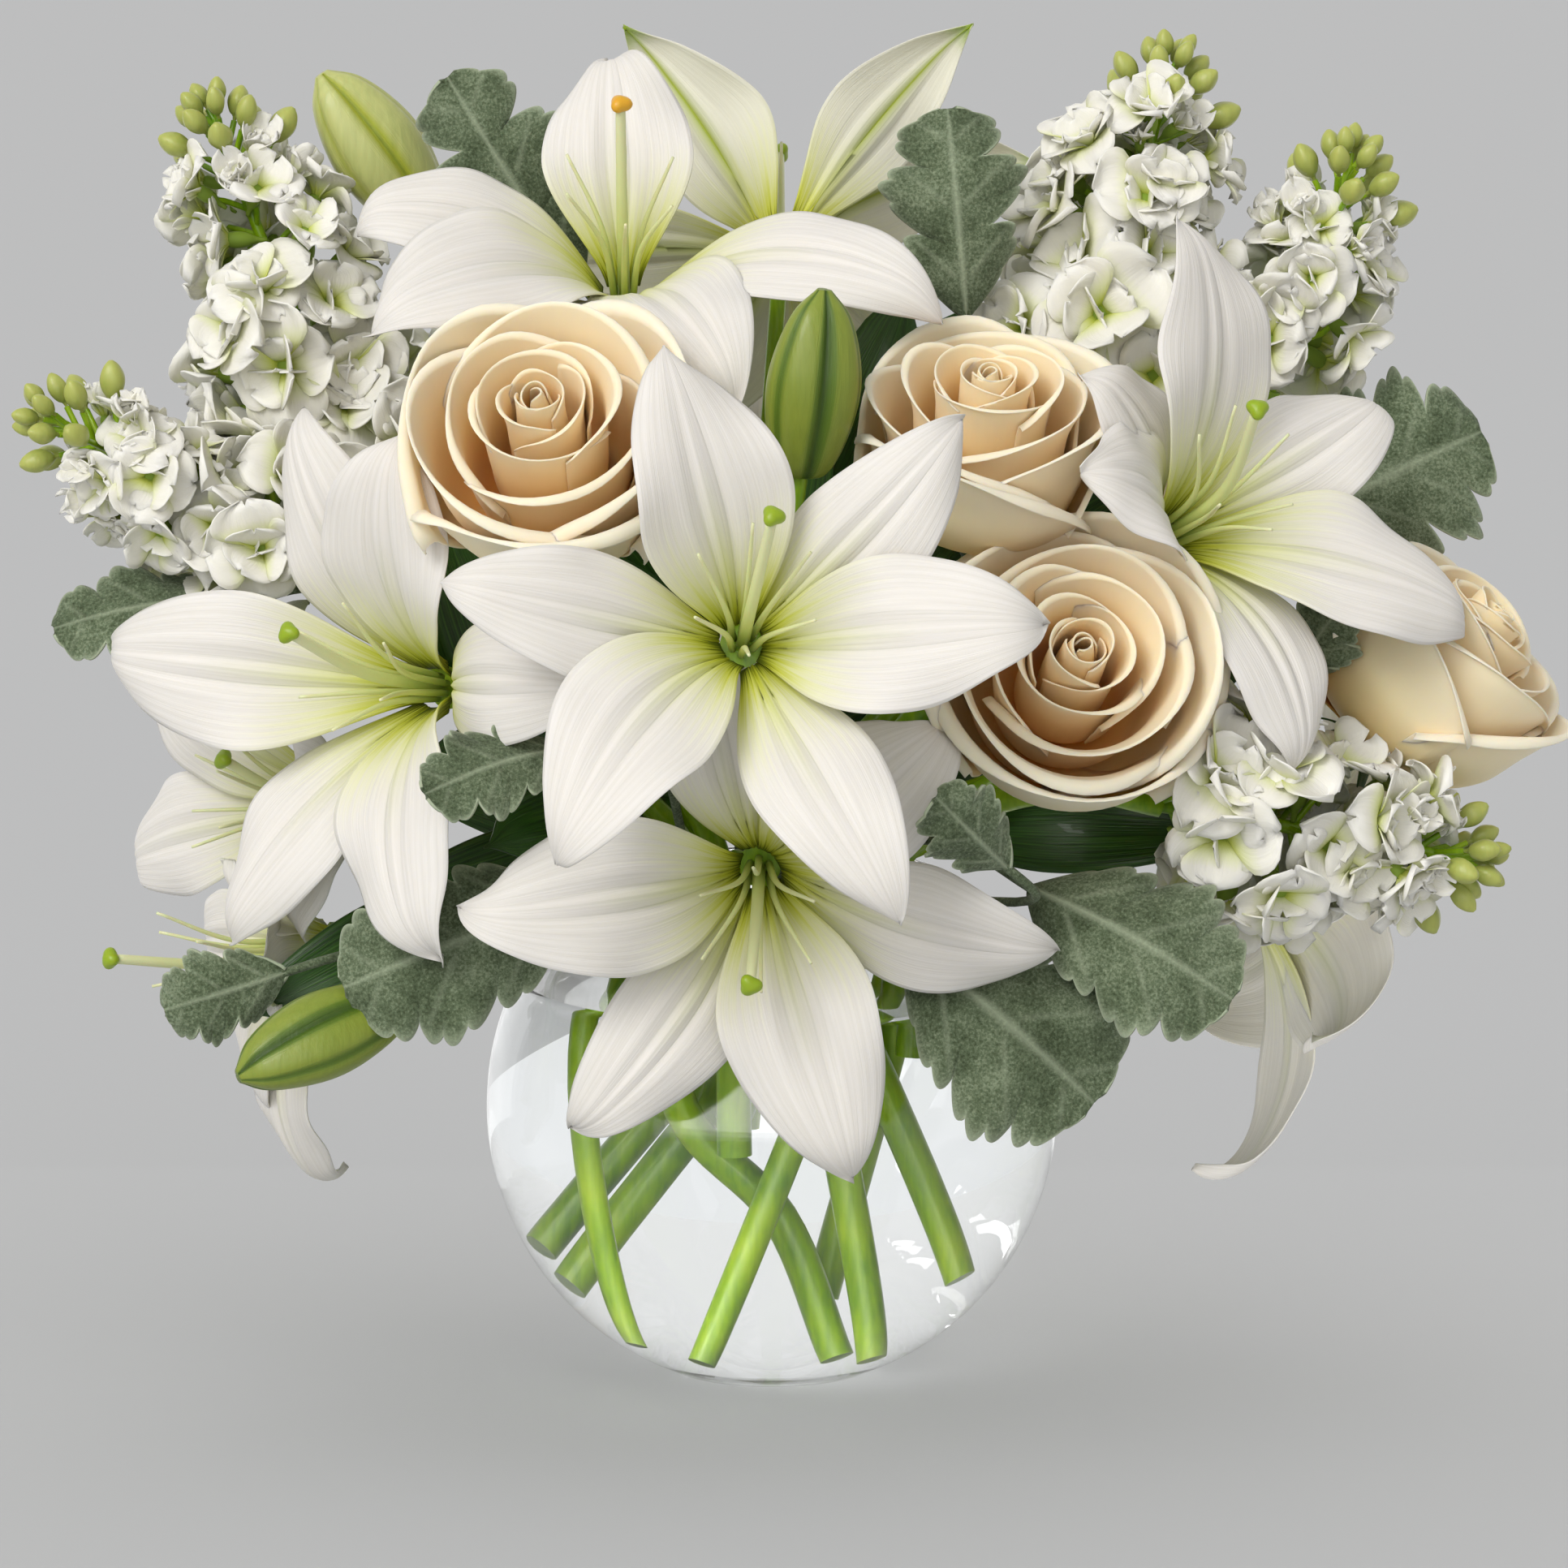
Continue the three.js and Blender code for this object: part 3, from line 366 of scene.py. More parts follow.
def smooth_path(points, per_span=8):
    """A smooth line through the points: a centripetal Catmull-Rom curve."""
    points = [np.array(p, float) for p in points]
    ends = [2 * points[0] - points[1], *points, 2 * points[-1] - points[-2]]
    line = [points[0]]
    for p0, p1, p2, p3 in zip(ends, ends[1:], ends[2:], ends[3:]):
        a, b, c = (np.linalg.norm(q - p) ** 0.5 for p, q in ((p0, p1), (p1, p2), (p2, p3)))
        out = b * ((p1 - p0) / a - (p2 - p0) / (a + b) + (p2 - p1) / b)
        into = b * ((p2 - p1) / b - (p3 - p1) / (b + c) + (p3 - p2) / c)
        for t in np.linspace(0, 1, per_span + 1)[1:]:
            line.append(
                (2 * t**3 - 3 * t**2 + 1) * p1 + (t**3 - 2 * t**2 + t) * out
                + (3 * t**2 - 2 * t**3) * p2 + (t**3 - t**2) * into
            )
    return np.array(line)


def above_rim(place):
    """The point over the rim that every stem passes."""
    return (LEAN_OUT * place[0], LEAN_OUT * place[1], BOWL_HEIGHT + RIM_CLEARANCE)


def facing(bloom):
    """Place, and the right, up and front directions, of a bloom."""
    a, e = math.radians(bloom["azimuth"]), math.radians(bloom["elevation"])
    right = np.array([math.cos(a), math.sin(a), 0])
    front = np.array([math.sin(a) * math.cos(e), -math.cos(a) * math.cos(e), math.sin(e)])
    return np.array(bloom["at"], float), right, np.cross(front, right), front


def placed(points, bloom):
    """Points made along +Z, turned to face a bloom's way and stood at its place."""
    at, right, up, front = facing(bloom)
    return at + points[..., :1] * right + points[..., 1:2] * up + points[..., 2:3] * front


def along_axis(bloom, distance):
    """The point on a bloom's axis that is so far in front of its place."""
    at, _, _, front = facing(bloom)
    return at + distance * front


def between(a, b, share):
    """The point a share of the way from a to b, or past either for a share below 0 or above 1."""
    return mix(np.array(a, float), np.array(b, float), share)


def compass(turn):
    """The way out from the Z axis at a turn in radians, and the way across it."""
    return np.array([math.cos(turn), math.sin(turn), 0]), np.array([-math.sin(turn), math.cos(turn), 0])


def axis_frame(low, high, beside):
    """The foot, way and length of an axis, and two ways across it, the first square to beside too."""
    low, high = np.array(low, float), np.array(high, float)
    axis = unit(high - low)
    side = unit(np.cross(beside, axis))
    return low, axis, np.linalg.norm(high - low), side, np.cross(axis, side)


def round_axis(turn, side, other):
    """The way out from an axis at a turn in radians from side towards other."""
    return math.cos(turn) * side + math.sin(turn) * other


def marked(across, along, third=0.0):
    """The three values of each point of a sheet: across it, along it and one more."""
    shape = (len(along), len(across))
    return np.stack([np.broadcast_to(each, shape) for each in (across, along[:, None], third)], axis=-1)


class Skin:
    """Closed sheets and turned forms, gathered into one mesh.

    Each point carries three values for the materials: across, along and one more.
    """

    def __init__(self):
        self.points, self.values, self.faces, self.count = [], [], [], 0

    def add(self, points, values, faces):
        """Adds points with their values, and faces that count from the first of these points."""
        self.points.append(np.asarray(points, float).reshape(-1, 3))
        self.values.append(np.asarray(values, float).reshape(-1, 3))
        self.faces += [tuple(int(i) + self.count for i in face) for face in faces]
        self.count += len(self.points[-1])

    def sheet(self, grid, thickness, values, back_values=None, ridge=0.0):
        """A grid of points, thickened half to each side, and by ridge on its back."""
        rows, columns = grid.shape[:2]
        normal = np.cross(np.gradient(grid, axis=1), np.gradient(grid, axis=0))
        normal /= np.maximum(np.linalg.norm(normal, axis=2, keepdims=True), TINY)
        half = 0.5 * np.broadcast_to(thickness, (rows, columns))[..., None]
        index = np.arange(rows * columns).reshape(rows, columns)
        quads = np.stack([index[:-1, :-1], index[:-1, 1:], index[1:, 1:], index[1:, :-1]], axis=-1)
        quads = quads.reshape(-1, 4)
        back = rows * columns
        edge = [*index[0], *index[1:, -1], *index[-1, -2::-1], *index[-2:0:-1, 0]]
        rim = [(b, a, a + back, b + back) for a, b in zip(edge, edge[1:] + edge[:1])]
        faces = [*quads, *(quads[:, ::-1] + back), *rim]
        back_values = values if back_values is None else back_values
        behind = half + np.broadcast_to(ridge, (rows, columns))[..., None]
        both = np.stack([grid + half * normal, grid - behind * normal])
        self.add(both, np.stack([values, back_values]), faces)

    def turned(self, rings, values):
        """A closed form from rings of points, run round and closed by a fan at each end."""
        rows, sides = rings.shape[:2]
        index = np.arange(rows * sides).reshape(rows, sides)
        after = np.roll(index, -1, axis=1)
        quads = np.stack([index[:-1], after[:-1], after[1:], index[1:]], axis=-1).reshape(-1, 4)
        first, last = rows * sides, rows * sides + 1
        fans = [(first, b, a) for a, b in zip(index[0], after[0])]
        fans += [(last, a, b) for a, b in zip(index[-1], after[-1])]
        poles = [rings[0].mean(0), rings[-1].mean(0)]
        pole_values = [values[0].mean(0), values[-1].mean(0)]
        points = np.concatenate([rings.reshape(-1, 3), poles])
        self.add(points, np.concatenate([values.reshape(-1, 3), pole_values]), [*quads, *fans])

    def tube(self, path, radii, sides=10):
        """A round tube along a path, with one radius for each of its points."""
        tangent = np.gradient(path, axis=0)
        tangent /= np.linalg.norm(tangent, axis=1, keepdims=True)
        side = unit(np.cross(tangent[0], OFF_AXIS))
        rings = []
        for point, way, radius in zip(path, tangent, np.broadcast_to(radii, len(path))):
            side = unit(side - way * side.dot(way))
            other = np.cross(way, side)
            turn = np.linspace(0, 2 * math.pi, sides, endpoint=False)[:, None]
            rings.append(point + radius * (np.cos(turn) * side + np.sin(turn) * other))
        self.turned(np.array(rings), marked(np.linspace(-1, 1, sides), np.linspace(0, 1, len(path))))

    def object(self, name, material):
        """A smooth mesh object of everything gathered, in metres."""
        mesh = bpy.data.meshes.new(name)
        points = np.concatenate(self.points) * MM
        mesh.from_pydata(points.tolist(), [], self.faces)
        attribute = mesh.attributes.new("growth", "FLOAT_VECTOR", "POINT")
        attribute.data.foreach_set("vector", np.concatenate(self.values).astype(np.float32).ravel())
        mesh.polygons.foreach_set("use_smooth", [True] * len(mesh.polygons))
        mesh.materials.append(material)
        return linked(name, mesh)


def linked(name, data):
    """An object of the data, linked to the scene."""
    made = bpy.data.objects.new(name, data)
    bpy.context.scene.collection.objects.link(made)
    return made


def finished(piece, slot, *nodes):
    """Hangs a finished piece on the body and hides the nodes that it stands for. slot: not used."""
    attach(piece, BODY)
    if nodes:
        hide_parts(*nodes)
    return piece


def light_group(name, names, state):
    """A collection for light linking that includes or excludes the named objects."""
    group = bpy.data.collections.new(name)
    for each in names:
        group.objects.link(bpy.data.objects[each])
    for member in group.collection_objects:
        member.light_linking.link_state = state
    return group


# ---------------------------------------------------------------- materials
def fill(made, inputs):
    """Sets or links a node's open sockets, in order or by name. A node stands for its open output."""
    sockets = [socket for socket in made.inputs if socket.enabled]
    for key, value in inputs.items() if isinstance(inputs, dict) else enumerate(inputs):
        socket = made.inputs[key] if isinstance(key, str) else sockets[key]
        if isinstance(value, bpy.types.Node):
            value = next(output for output in value.outputs if output.enabled)
        if isinstance(value, bpy.types.NodeSocket):
            made.id_data.links.new(value, socket)
        else:
            socket.default_value = (*value, 1) if socket.type == "RGBA" else value


def node(tree, kind, inputs=(), stops=(), **settings):
    """Adds a node with its settings and links. stops: a colour ramp's places and linear colours."""
    made = tree.nodes.new(kind)
    for key, value in settings.items():
        setattr(made, key, value)
    for _ in stops[2:]:
        made.color_ramp.elements.new(0.5)
    for i, (place, shade) in enumerate(stops):
        element = made.color_ramp.elements[i]
        element.position = place
        element.color = (*shade, 1)
    fill(made, inputs)
    return made


def new_material(name, constants):
    """A Principled material with its constant settings, and its tree."""
    material = bpy.data.materials.new(name)
    material.use_nodes = True
    fill(material.node_tree.nodes["Principled BSDF"], constants)
    return material, material.node_tree


def surfaced(tree, face, relief, depth, strength):
    """Gives the shader its colour, and a relief whose depth is in millimetres."""
    bumps = node(tree, "ShaderNodeBump", {"Height": relief, "Distance": depth * MM, "Strength": strength})
    fill(tree.nodes["Principled BSDF"], {"Base Color": face, "Normal": bumps})


def growth(tree):
    """The three values that a piece's points carry."""
    read = node(tree, "ShaderNodeAttribute", attribute_name="growth")
    return node(tree, "ShaderNodeSeparateXYZ", [read.outputs["Vector"]]).outputs


def grain(size):
    """The scale of a noise on Object coordinates whose grains are so many millimetres."""
    return 1 / (size * MM)


def petal_veins(tree, across, along, half, spacing, breaks):
    """Fine lines that run from a petal's foot to its rim: near 1 on a vein, and near 0 between two.

    half: half the petal's width. spacing: between two veins. breaks: how often a vein fades on its way.
    """
    spread = node(tree, "ShaderNodeMath", [across, half / spacing / breaks], operation="MULTIPLY")
    stretched = node(tree, "ShaderNodeCombineXYZ", [spread, along])
    return node(tree, "ShaderNodeTexNoise", [stretched, breaks, 2.0, 0.5])


def lily_petal_material(colours):
    """Waxy lily tepal: satin white, with a green throat, fine parallel veins and a greener back; painted
    shade greys its veins and darkens its furrows and deepest throat.
    """
    material, tree = new_material("lily tepal, waxy", {
        "Roughness": 0.5, "Subsurface Weight": 0.4, "Subsurface Radius": (1, 0.92, 0.72),
        "Subsurface Scale": 1 * MM, "Specular IOR Level": 0.3, "IOR": 1.42,
    })
    across, along, green = growth(tree)
    side = node(tree, "ShaderNodeMath", [across], operation="ABSOLUTE")
    # Grey vein lines: the veins' own tint, deepened into painted shade along the tepal.
    veins = petal_veins(tree, across, along, 20, 1.17, 1.9)
    fine = petal_veins(tree, across, along, 20, 0.42, 1.4)
    fine_vein_shade = node(tree, "ShaderNodeMath", [fine, 0.3], operation="MULTIPLY")
    vein_shade = node(tree, "ShaderNodeMath", [veins, 0.45, fine_vein_shade], operation="MULTIPLY_ADD")
    # Furrows: narrow where a cosine across the tepal peaks, and gone towards its tip and edges. The relief
    # dips in them, and a grey-green painted shade darkens them.
    wave = node(tree, "ShaderNodeMath", [side, 21.0], operation="MULTIPLY")
    wave = node(tree, "ShaderNodeMath", [wave], operation="COSINE")
    wave = node(tree, "ShaderNodeMath", [wave], operation="ABSOLUTE")
    narrow = node(tree, "ShaderNodeMath", [wave, 10.0], operation="POWER")
    edge = node(tree, "ShaderNodeMath", [side, 2.6], operation="MULTIPLY")
    edge = node(tree, "ShaderNodeMath", [along, edge], operation="MAXIMUM")
    inward = node(tree, "ShaderNodeMath", [0.9, edge], operation="SUBTRACT")
    inward = node(tree, "ShaderNodeMath", [inward, 0.0], operation="MAXIMUM")
    furrow = node(tree, "ShaderNodeMath", [narrow, inward], operation="MULTIPLY")
    furrow_shade = node(tree, "ShaderNodeMath", [furrow, 0.5], operation="MULTIPLY")
    # The rib: a soft line down the middle that fades before the tip.
    rib = node(tree, "ShaderNodeMath", [side, 2.0], operation="POWER")
    rib = node(tree, "ShaderNodeMath", [rib, -60.0], operation="MULTIPLY")
    rib = node(tree, "ShaderNodeMath", [rib], operation="EXPONENT")
    fading = node(tree, "ShaderNodeMath", [along, -0.9, 0.558], operation="MULTIPLY_ADD")
    fading = node(tree, "ShaderNodeMath", [fading, 0.0], operation="MAXIMUM")
    on_rib = node(tree, "ShaderNodeMath", [rib, fading], operation="MULTIPLY")
    # The back: greener, most of all on its rib and at its tip.
    on_back = node(tree, "ShaderNodeMath", [green, 0.55], operation="MULTIPLY")
    back_rib = node(tree, "ShaderNodeMath", [rib, 0.95], operation="MULTIPLY")
    back_rib = node(tree, "ShaderNodeMath", [green, back_rib], operation="MULTIPLY")
    tip = node(
        tree, "ShaderNodeMapRange", [along, 0.88, 1.0, 0.0, 0.9], interpolation_type="SMOOTHSTEP"
    )
    back_tip = node(tree, "ShaderNodeMath", [green, tip], operation="MULTIPLY")
    # The throat: three colours that end further and further in, at an edge that the veins make ragged. The
    # innermost is the throat's deep green, darkened into painted shade where the tepals meet.
    reach = node(tree, "ShaderNodeMath", [veins, 0.34, along], operation="MULTIPLY_ADD")
    reach = node(tree, "ShaderNodeMath", [side, -0.06, reach], operation="MULTIPLY_ADD")
    glow, throat, depth = (
        node(tree, "ShaderNodeMapRange", [reach, *fade, 0.0], interpolation_type="SMOOTHSTEP")
        for fade in ((0.21, 0.65, 0.62), (0.17, 0.41, 0.92), (0.13, 0.23, 0.85))
    )
    face = colours.lily_white
    # Painted shade: the grey veins, the furrow colour and the deepest throat colour darken the white where
    # shade falls.
    for where, shade in (
        (vein_shade, colours.lily_vein_shade), (furrow_shade, linear("#a6a890")), (on_rib, linear("#cdd568")),
        (on_back, colours.lily_back), (back_rib, linear("#9fae22")), (back_tip, linear("#8fae10")),
        (glow, linear("#d9df66")), (throat, colours.lily_throat), (depth, colours.lily_throat_shade),
    ):
        face = node(tree, "ShaderNodeMix", [where, face, shade], data_type="RGBA")
    relief = node(tree, "ShaderNodeMath", [veins, fine], operation="ADD")
    relief = node(tree, "ShaderNodeMath", [relief, furrow], operation="SUBTRACT")
    surfaced(tree, face, relief, 0.3, 0.5)
    return material


def heart_material(_):
    """Style and filaments: smooth and pale green, with a knob from green to orange-yellow."""
    material, tree = new_material("lily style, smooth", {
        "Roughness": 0.38, "Subsurface Weight": 0.2, "Subsurface Scale": 2 * MM,
    })
    _, along, knob = growth(tree)
    pale = node(tree, "ShaderNodeValToRGB", [along], stops=[
        (0, linear("#8fa62e")), (0.35, linear("#cfd88a")), (1, linear("#dfe3b4")),
    ])
    knobbed = node(tree, "ShaderNodeValToRGB", [knob], stops=[
        (0, linear("#dfe3b4")), (0.4, linear("#93ad1e")), (0.7, linear("#93ad1e")), (1, linear("#e0a928")),
    ])
    on_knob = node(tree, "ShaderNodeMath", [knob, 0.2], operation="GREATER_THAN")
    face = node(tree, "ShaderNodeMix", [on_knob, pale, knobbed], data_type="RGBA")
    space = node(tree, "ShaderNodeTexCoord").outputs["Object"]
    surfaced(tree, face, node(tree, "ShaderNodeTexNoise", [space, grain(1.11), 3.0, 0.5]), 0.2, 0.3)
    return material


def rose_material(colours):
    """Velvety rose petal: matt cream, pale on the rim and peach in the folds, where the peach is deepened as
    painted shade.
    """
    material, tree = new_material("rose petal, velvety", {
        "Roughness": 0.65, "Subsurface Weight": 0.7, "Subsurface Radius": (1, 0.8, 0.5),
        "Subsurface Scale": 0.9 * MM, "Sheen Weight": 0.1, "Sheen Roughness": 0.5,
        "Specular IOR Level": 0.2,
    })
    across, along, outer = growth(tree)
    veins = petal_veins(tree, across, along, 25, 1.62, 2.2)
    # Low at a petal's foot and in the inner petals. There the ramp's deeper peach and orange are partly
    # painted shade in the folds and the heart.
    tone = node(tree, "ShaderNodeMath", [outer, 0.3, along], operation="MULTIPLY_ADD")
    tone = node(tree, "ShaderNodeMath", [tone, 0.2], operation="SUBTRACT")
    cream = node(tree, "ShaderNodeValToRGB", [tone], stops=[
        (0.12, linear("#ffc470")), (0.36, colours.rose_peach), (0.6, linear("#ffe6be")),
        (0.82, colours.rose_cream), (1.0, colours.rose_rim),
    ])
    in_vein = node(tree, "ShaderNodeMath", [veins, 0.12], operation="MULTIPLY")
    face = node(tree, "ShaderNodeMix", [in_vein, cream, linear("#fcd9ab")], data_type="RGBA")
    surfaced(tree, face, veins, 0.25, 0.25)
    return material


def stock_material(colours):
    """Stock petal: thin and white, with a yellow-green foot and faint veins, on a green calyx."""
    material, tree = new_material("stock petal, thin", {
        "Roughness": 0.55, "Subsurface Weight": 0.3, "Subsurface Radius": (1, 1, 0.75),
        "Subsurface Scale": 0.7 * MM, "Specular IOR Level": 0.25,
    })
    across, along, calyx = growth(tree)
    veins = petal_veins(tree, across, along, 9.5, 0.66, 2.4)
    reach = node(tree, "ShaderNodeMath", [veins, 0.12, along], operation="MULTIPLY_ADD")
    white = node(tree, "ShaderNodeValToRGB", [reach], stops=[
        (0.1, linear("#8aa322")), (0.26, colours.stock_heart), (0.46, linear("#dde1b4")),
        (0.7, colours.stock_white), (1.0, linear("#efeee6")),
    ])
    face = node(tree, "ShaderNodeMix", [calyx, white, linear("#86a03c")], data_type="RGBA")
    surfaced(tree, face, veins, 0.3, 0.5)
    return material


def stem_material(colours):
    """Fresh cut stem: smooth green skin with fine streaks and a waxy shine."""
    material, tree = new_material("cut stem, fresh", {
        "Roughness": 0.36, "Subsurface Weight": 0.08, "Subsurface Scale": 2 * MM, "Coat Weight": 0.1,
    })
    space = node(tree, "ShaderNodeTexCoord").outputs["Object"]
    patches = node(tree, "ShaderNodeTexNoise", [space, grain(22.2), 4.0, 0.5])
    drawn_out = node(tree, "ShaderNodeMapping", {"Vector": space, "Scale": (1, 1, 0.12)})
    streaks = node(tree, "ShaderNodeTexNoise", [drawn_out, grain(1.43), 3.0, 0.5])
    light_streaks = node(tree, "ShaderNodeMath", [streaks, 0.3], operation="MULTIPLY")
    tone = node(tree, "ShaderNodeMath", [patches, 0.7, light_streaks], operation="MULTIPLY_ADD")
    face = node(tree, "ShaderNodeValToRGB", [tone], stops=[
        (0.36, linear("#66920a")), (0.5, colours.stem_green), (0.66, linear("#a9c722")),
    ])
    surfaced(tree, face, streaks, 0.25, 0.4)
    return material


def bud_material(colours):
    """Closed lily bud: firm and satin, with fine streaks, painted shade dark in its seams and a painted
    highlight pale on its ribs.
    """
    material, tree = new_material("lily bud, satin", {
        "Roughness": 0.42, "Subsurface Weight": 0.12, "Subsurface Scale": 1 * MM, "Coat Weight": 0.08,
    })
    groove, along, ripe = growth(tree)
    streaks = petal_veins(tree, groove, along, 12, 0.5, 3.0)
    space = node(tree, "ShaderNodeTexCoord").outputs["Object"]
    drawn_out = node(tree, "ShaderNodeMapping", {"Vector": space, "Scale": (1, 1, 0.1)})
    fine = node(tree, "ShaderNodeTexNoise", [drawn_out, grain(1.61), 3.0, 0.5])
    # Both ramps paint shade dark in the seams and a highlight pale on the rounded tepals between them, over
    # the bud's green or ripe colour.
    green = node(tree, "ShaderNodeValToRGB", [groove], stops=[
        (0, linear("#22390a")), (0.35, colours.bud_green), (0.8, linear("#5f781a")), (1, linear("#94a03c")),
    ])
    pale = node(tree, "ShaderNodeValToRGB", [groove], stops=[
        (0, linear("#7d8a1c")), (0.35, colours.bud_ripe), (1, linear("#d4d68a")),
    ])
    face = node(tree, "ShaderNodeMix", [ripe, green, pale], data_type="RGBA")
    for lines, share, shade in ((streaks, 0.3, "#5f8418"), (fine, 0.35, "#42600f")):
        where = node(tree, "ShaderNodeMath", [lines, share], operation="MULTIPLY")
        face = node(tree, "ShaderNodeMix", [where, face, linear(shade)], data_type="RGBA")
    surfaced(tree, face, node(tree, "ShaderNodeMath", [streaks, fine], operation="ADD"), 0.4, 0.5)
    return material


def leaf_material(colours):
    """Narrow lily leaf: glossy dark green with parallel veins."""
    material, tree = new_material("lily leaf, glossy", {
        "Roughness": 0.38, "Subsurface Weight": 0.08, "Subsurface Scale": 2 * MM, "Coat Weight": 0.1,
    })
    across, along, _ = growth(tree)
    veins = petal_veins(tree, across, along, 14, 0.54, 2.6)
    face = node(tree, "ShaderNodeValToRGB", [veins], stops=[
        (0.3, linear("#1c3c0e")), (0.55, colours.leaf_green), (0.8, linear("#4d7d24")),
    ])
    surfaced(tree, face, veins, 0.4, 0.6)
    return material


def felt_material(colours):
    """Dusty miller leaf: matt felt of silver hairs over grey-green, worn thin in the hollows."""
    material, tree = new_material("dusty miller leaf, felted", {
        "Roughness": 0.9, "Sheen Weight": 0.12, "Sheen Roughness": 0.6, "Specular IOR Level": 0.15,
        "Subsurface Weight": 0.05, "Subsurface Scale": 1 * MM,
    })
    across, _, vein = growth(tree)
    space = node(tree, "ShaderNodeTexCoord").outputs["Object"]
    tufts = node(tree, "ShaderNodeTexNoise", [space, grain(0.77), 4.0, 0.7])
    patches = node(tree, "ShaderNodeTexNoise", [space, grain(12.5), 4.0, 0.6])
    light_patches = node(tree, "ShaderNodeMath", [patches, 0.4], operation="MULTIPLY")
    tone = node(tree, "ShaderNodeMath", [tufts, 0.6, light_patches], operation="MULTIPLY_ADD")
    grey = node(tree, "ShaderNodeValToRGB", [tone], stops=[
        (0.38, colours.felt_dark), (0.5, linear("#5d6b50")), (0.66, colours.felt_pale),
    ])
    edge = node(tree, "ShaderNodeMath", [across], operation="ABSOLUTE")
    edge = node(tree, "ShaderNodeMath", [edge, 18.0], operation="POWER")
    edge = node(tree, "ShaderNodeMath", [edge, 0.9], operation="MULTIPLY")
    on_vein = node(tree, "ShaderNodeMath", [vein, 0.7], operation="MULTIPLY")
    pale = node(tree, "ShaderNodeMath", [on_vein, edge], operation="MAXIMUM")
    face = node(tree, "ShaderNodeMix", [pale, grey, linear("#b4c0a4")], data_type="RGBA")
    surfaced(tree, face, tone, 0.8, 0.8)
    return material


def glass_material(_):
    """Clear blown glass: smooth, and seen only by its bright and bent edges."""
    return new_material("clear glass, blown", {
        "Base Color": linear("#fdfefe"), "Roughness": 0.0, "Transmission Weight": 1.0, "IOR": 1.48,
    })[0]


def water_material(_):
    """Clear tap water: still, so that the stems show through it, bent at its surface."""
    return new_material("water, clear", {
        "Base Color": linear("#fdfeff"), "Roughness": 0.0, "Transmission Weight": 1.0, "IOR": 1.33,
    })[0]


def floor_material(colours):
    """Matt studio paper: an even grey with a faint tooth."""
    material, tree = new_material("studio paper, matt", {"Roughness": 0.9, "Specular IOR Level": 0.1})
    space = node(tree, "ShaderNodeTexCoord").outputs["Object"]
    tooth = node(tree, "ShaderNodeTexNoise", [space, grain(2.5), 2.0, 0.5])
    faint = node(tree, "ShaderNodeMath", [tooth, 0.04], operation="MULTIPLY")
    face = node(tree, "ShaderNodeMix", [faint, colours.floor, linear("#cbcbcb")], data_type="RGBA")
    fill(tree.nodes["Principled BSDF"], {"Base Color": face})
    return material


MAKERS = {
    "lily": lily_petal_material, "heart": heart_material, "rose": rose_material, "stock": stock_material,
    "stem": stem_material, "bud": bud_material, "leaf": leaf_material, "felt": felt_material,
    "glass": glass_material, "water": water_material, "floor": floor_material,
}


def finish_of(context, name):
    """The material of that name, made when it is first asked for."""
    key = f"bouquet {name}"
    if key not in context.scene:
        context.scene[key] = MAKERS[name](context.scene.bouquet_colours)
    return context.scene[key]


# ---------------------------------------------------------------- Geometry Nodes
STEM_TREE, BLOOM_TREE = "Stems along paths", "Blooms on points"
SHAPES_EACH = 3


def new_tree(name, sockets):
    """A Geometry Nodes tree with named inputs, and its input sockets."""
    tree = bpy.data.node_groups.new(name, "GeometryNodeTree")
    for label, kind in (("Geometry", "NodeSocketGeometry"), *sockets):
        tree.interface.new_socket(label, in_out="INPUT", socket_type=kind)
    tree.interface.new_socket("Geometry", in_out="OUTPUT", socket_type="NodeSocketGeometry")
    return tree, node(tree, "NodeGroupInput").outputs


def ended(tree, geometry, material):
    """Realizes the instances, sets the material and ends the tree."""
    real = node(tree, "GeometryNodeRealizeInstances", [geometry])
    covered = node(tree, "GeometryNodeSetMaterial", {"Geometry": real, "Material": material})
    node(tree, "NodeGroupOutput", {"Geometry": covered})


def stem_tree():
    """Round stems along every path of a wire mesh, as thick as its points say."""
    tree, given = new_tree(STEM_TREE, [("Sides", "NodeSocketInt"), ("Material", "NodeSocketMaterial")])
    thickness = node(tree, "GeometryNodeInputNamedAttribute", ["thickness"], data_type="FLOAT")
    curve = node(tree, "GeometryNodeMeshToCurve", [given["Geometry"]])
    ring = node(tree, "GeometryNodeCurvePrimitiveCircle", {"Resolution": given["Sides"], "Radius": 1.0})
    tube = node(tree, "GeometryNodeCurveToMesh", {
        "Curve": curve, "Profile Curve": ring, "Scale": thickness, "Fill Caps": True,
    })
    ended(tree, node(tree, "GeometryNodeSetShadeSmooth", [tube]), given["Material"])
    return tree


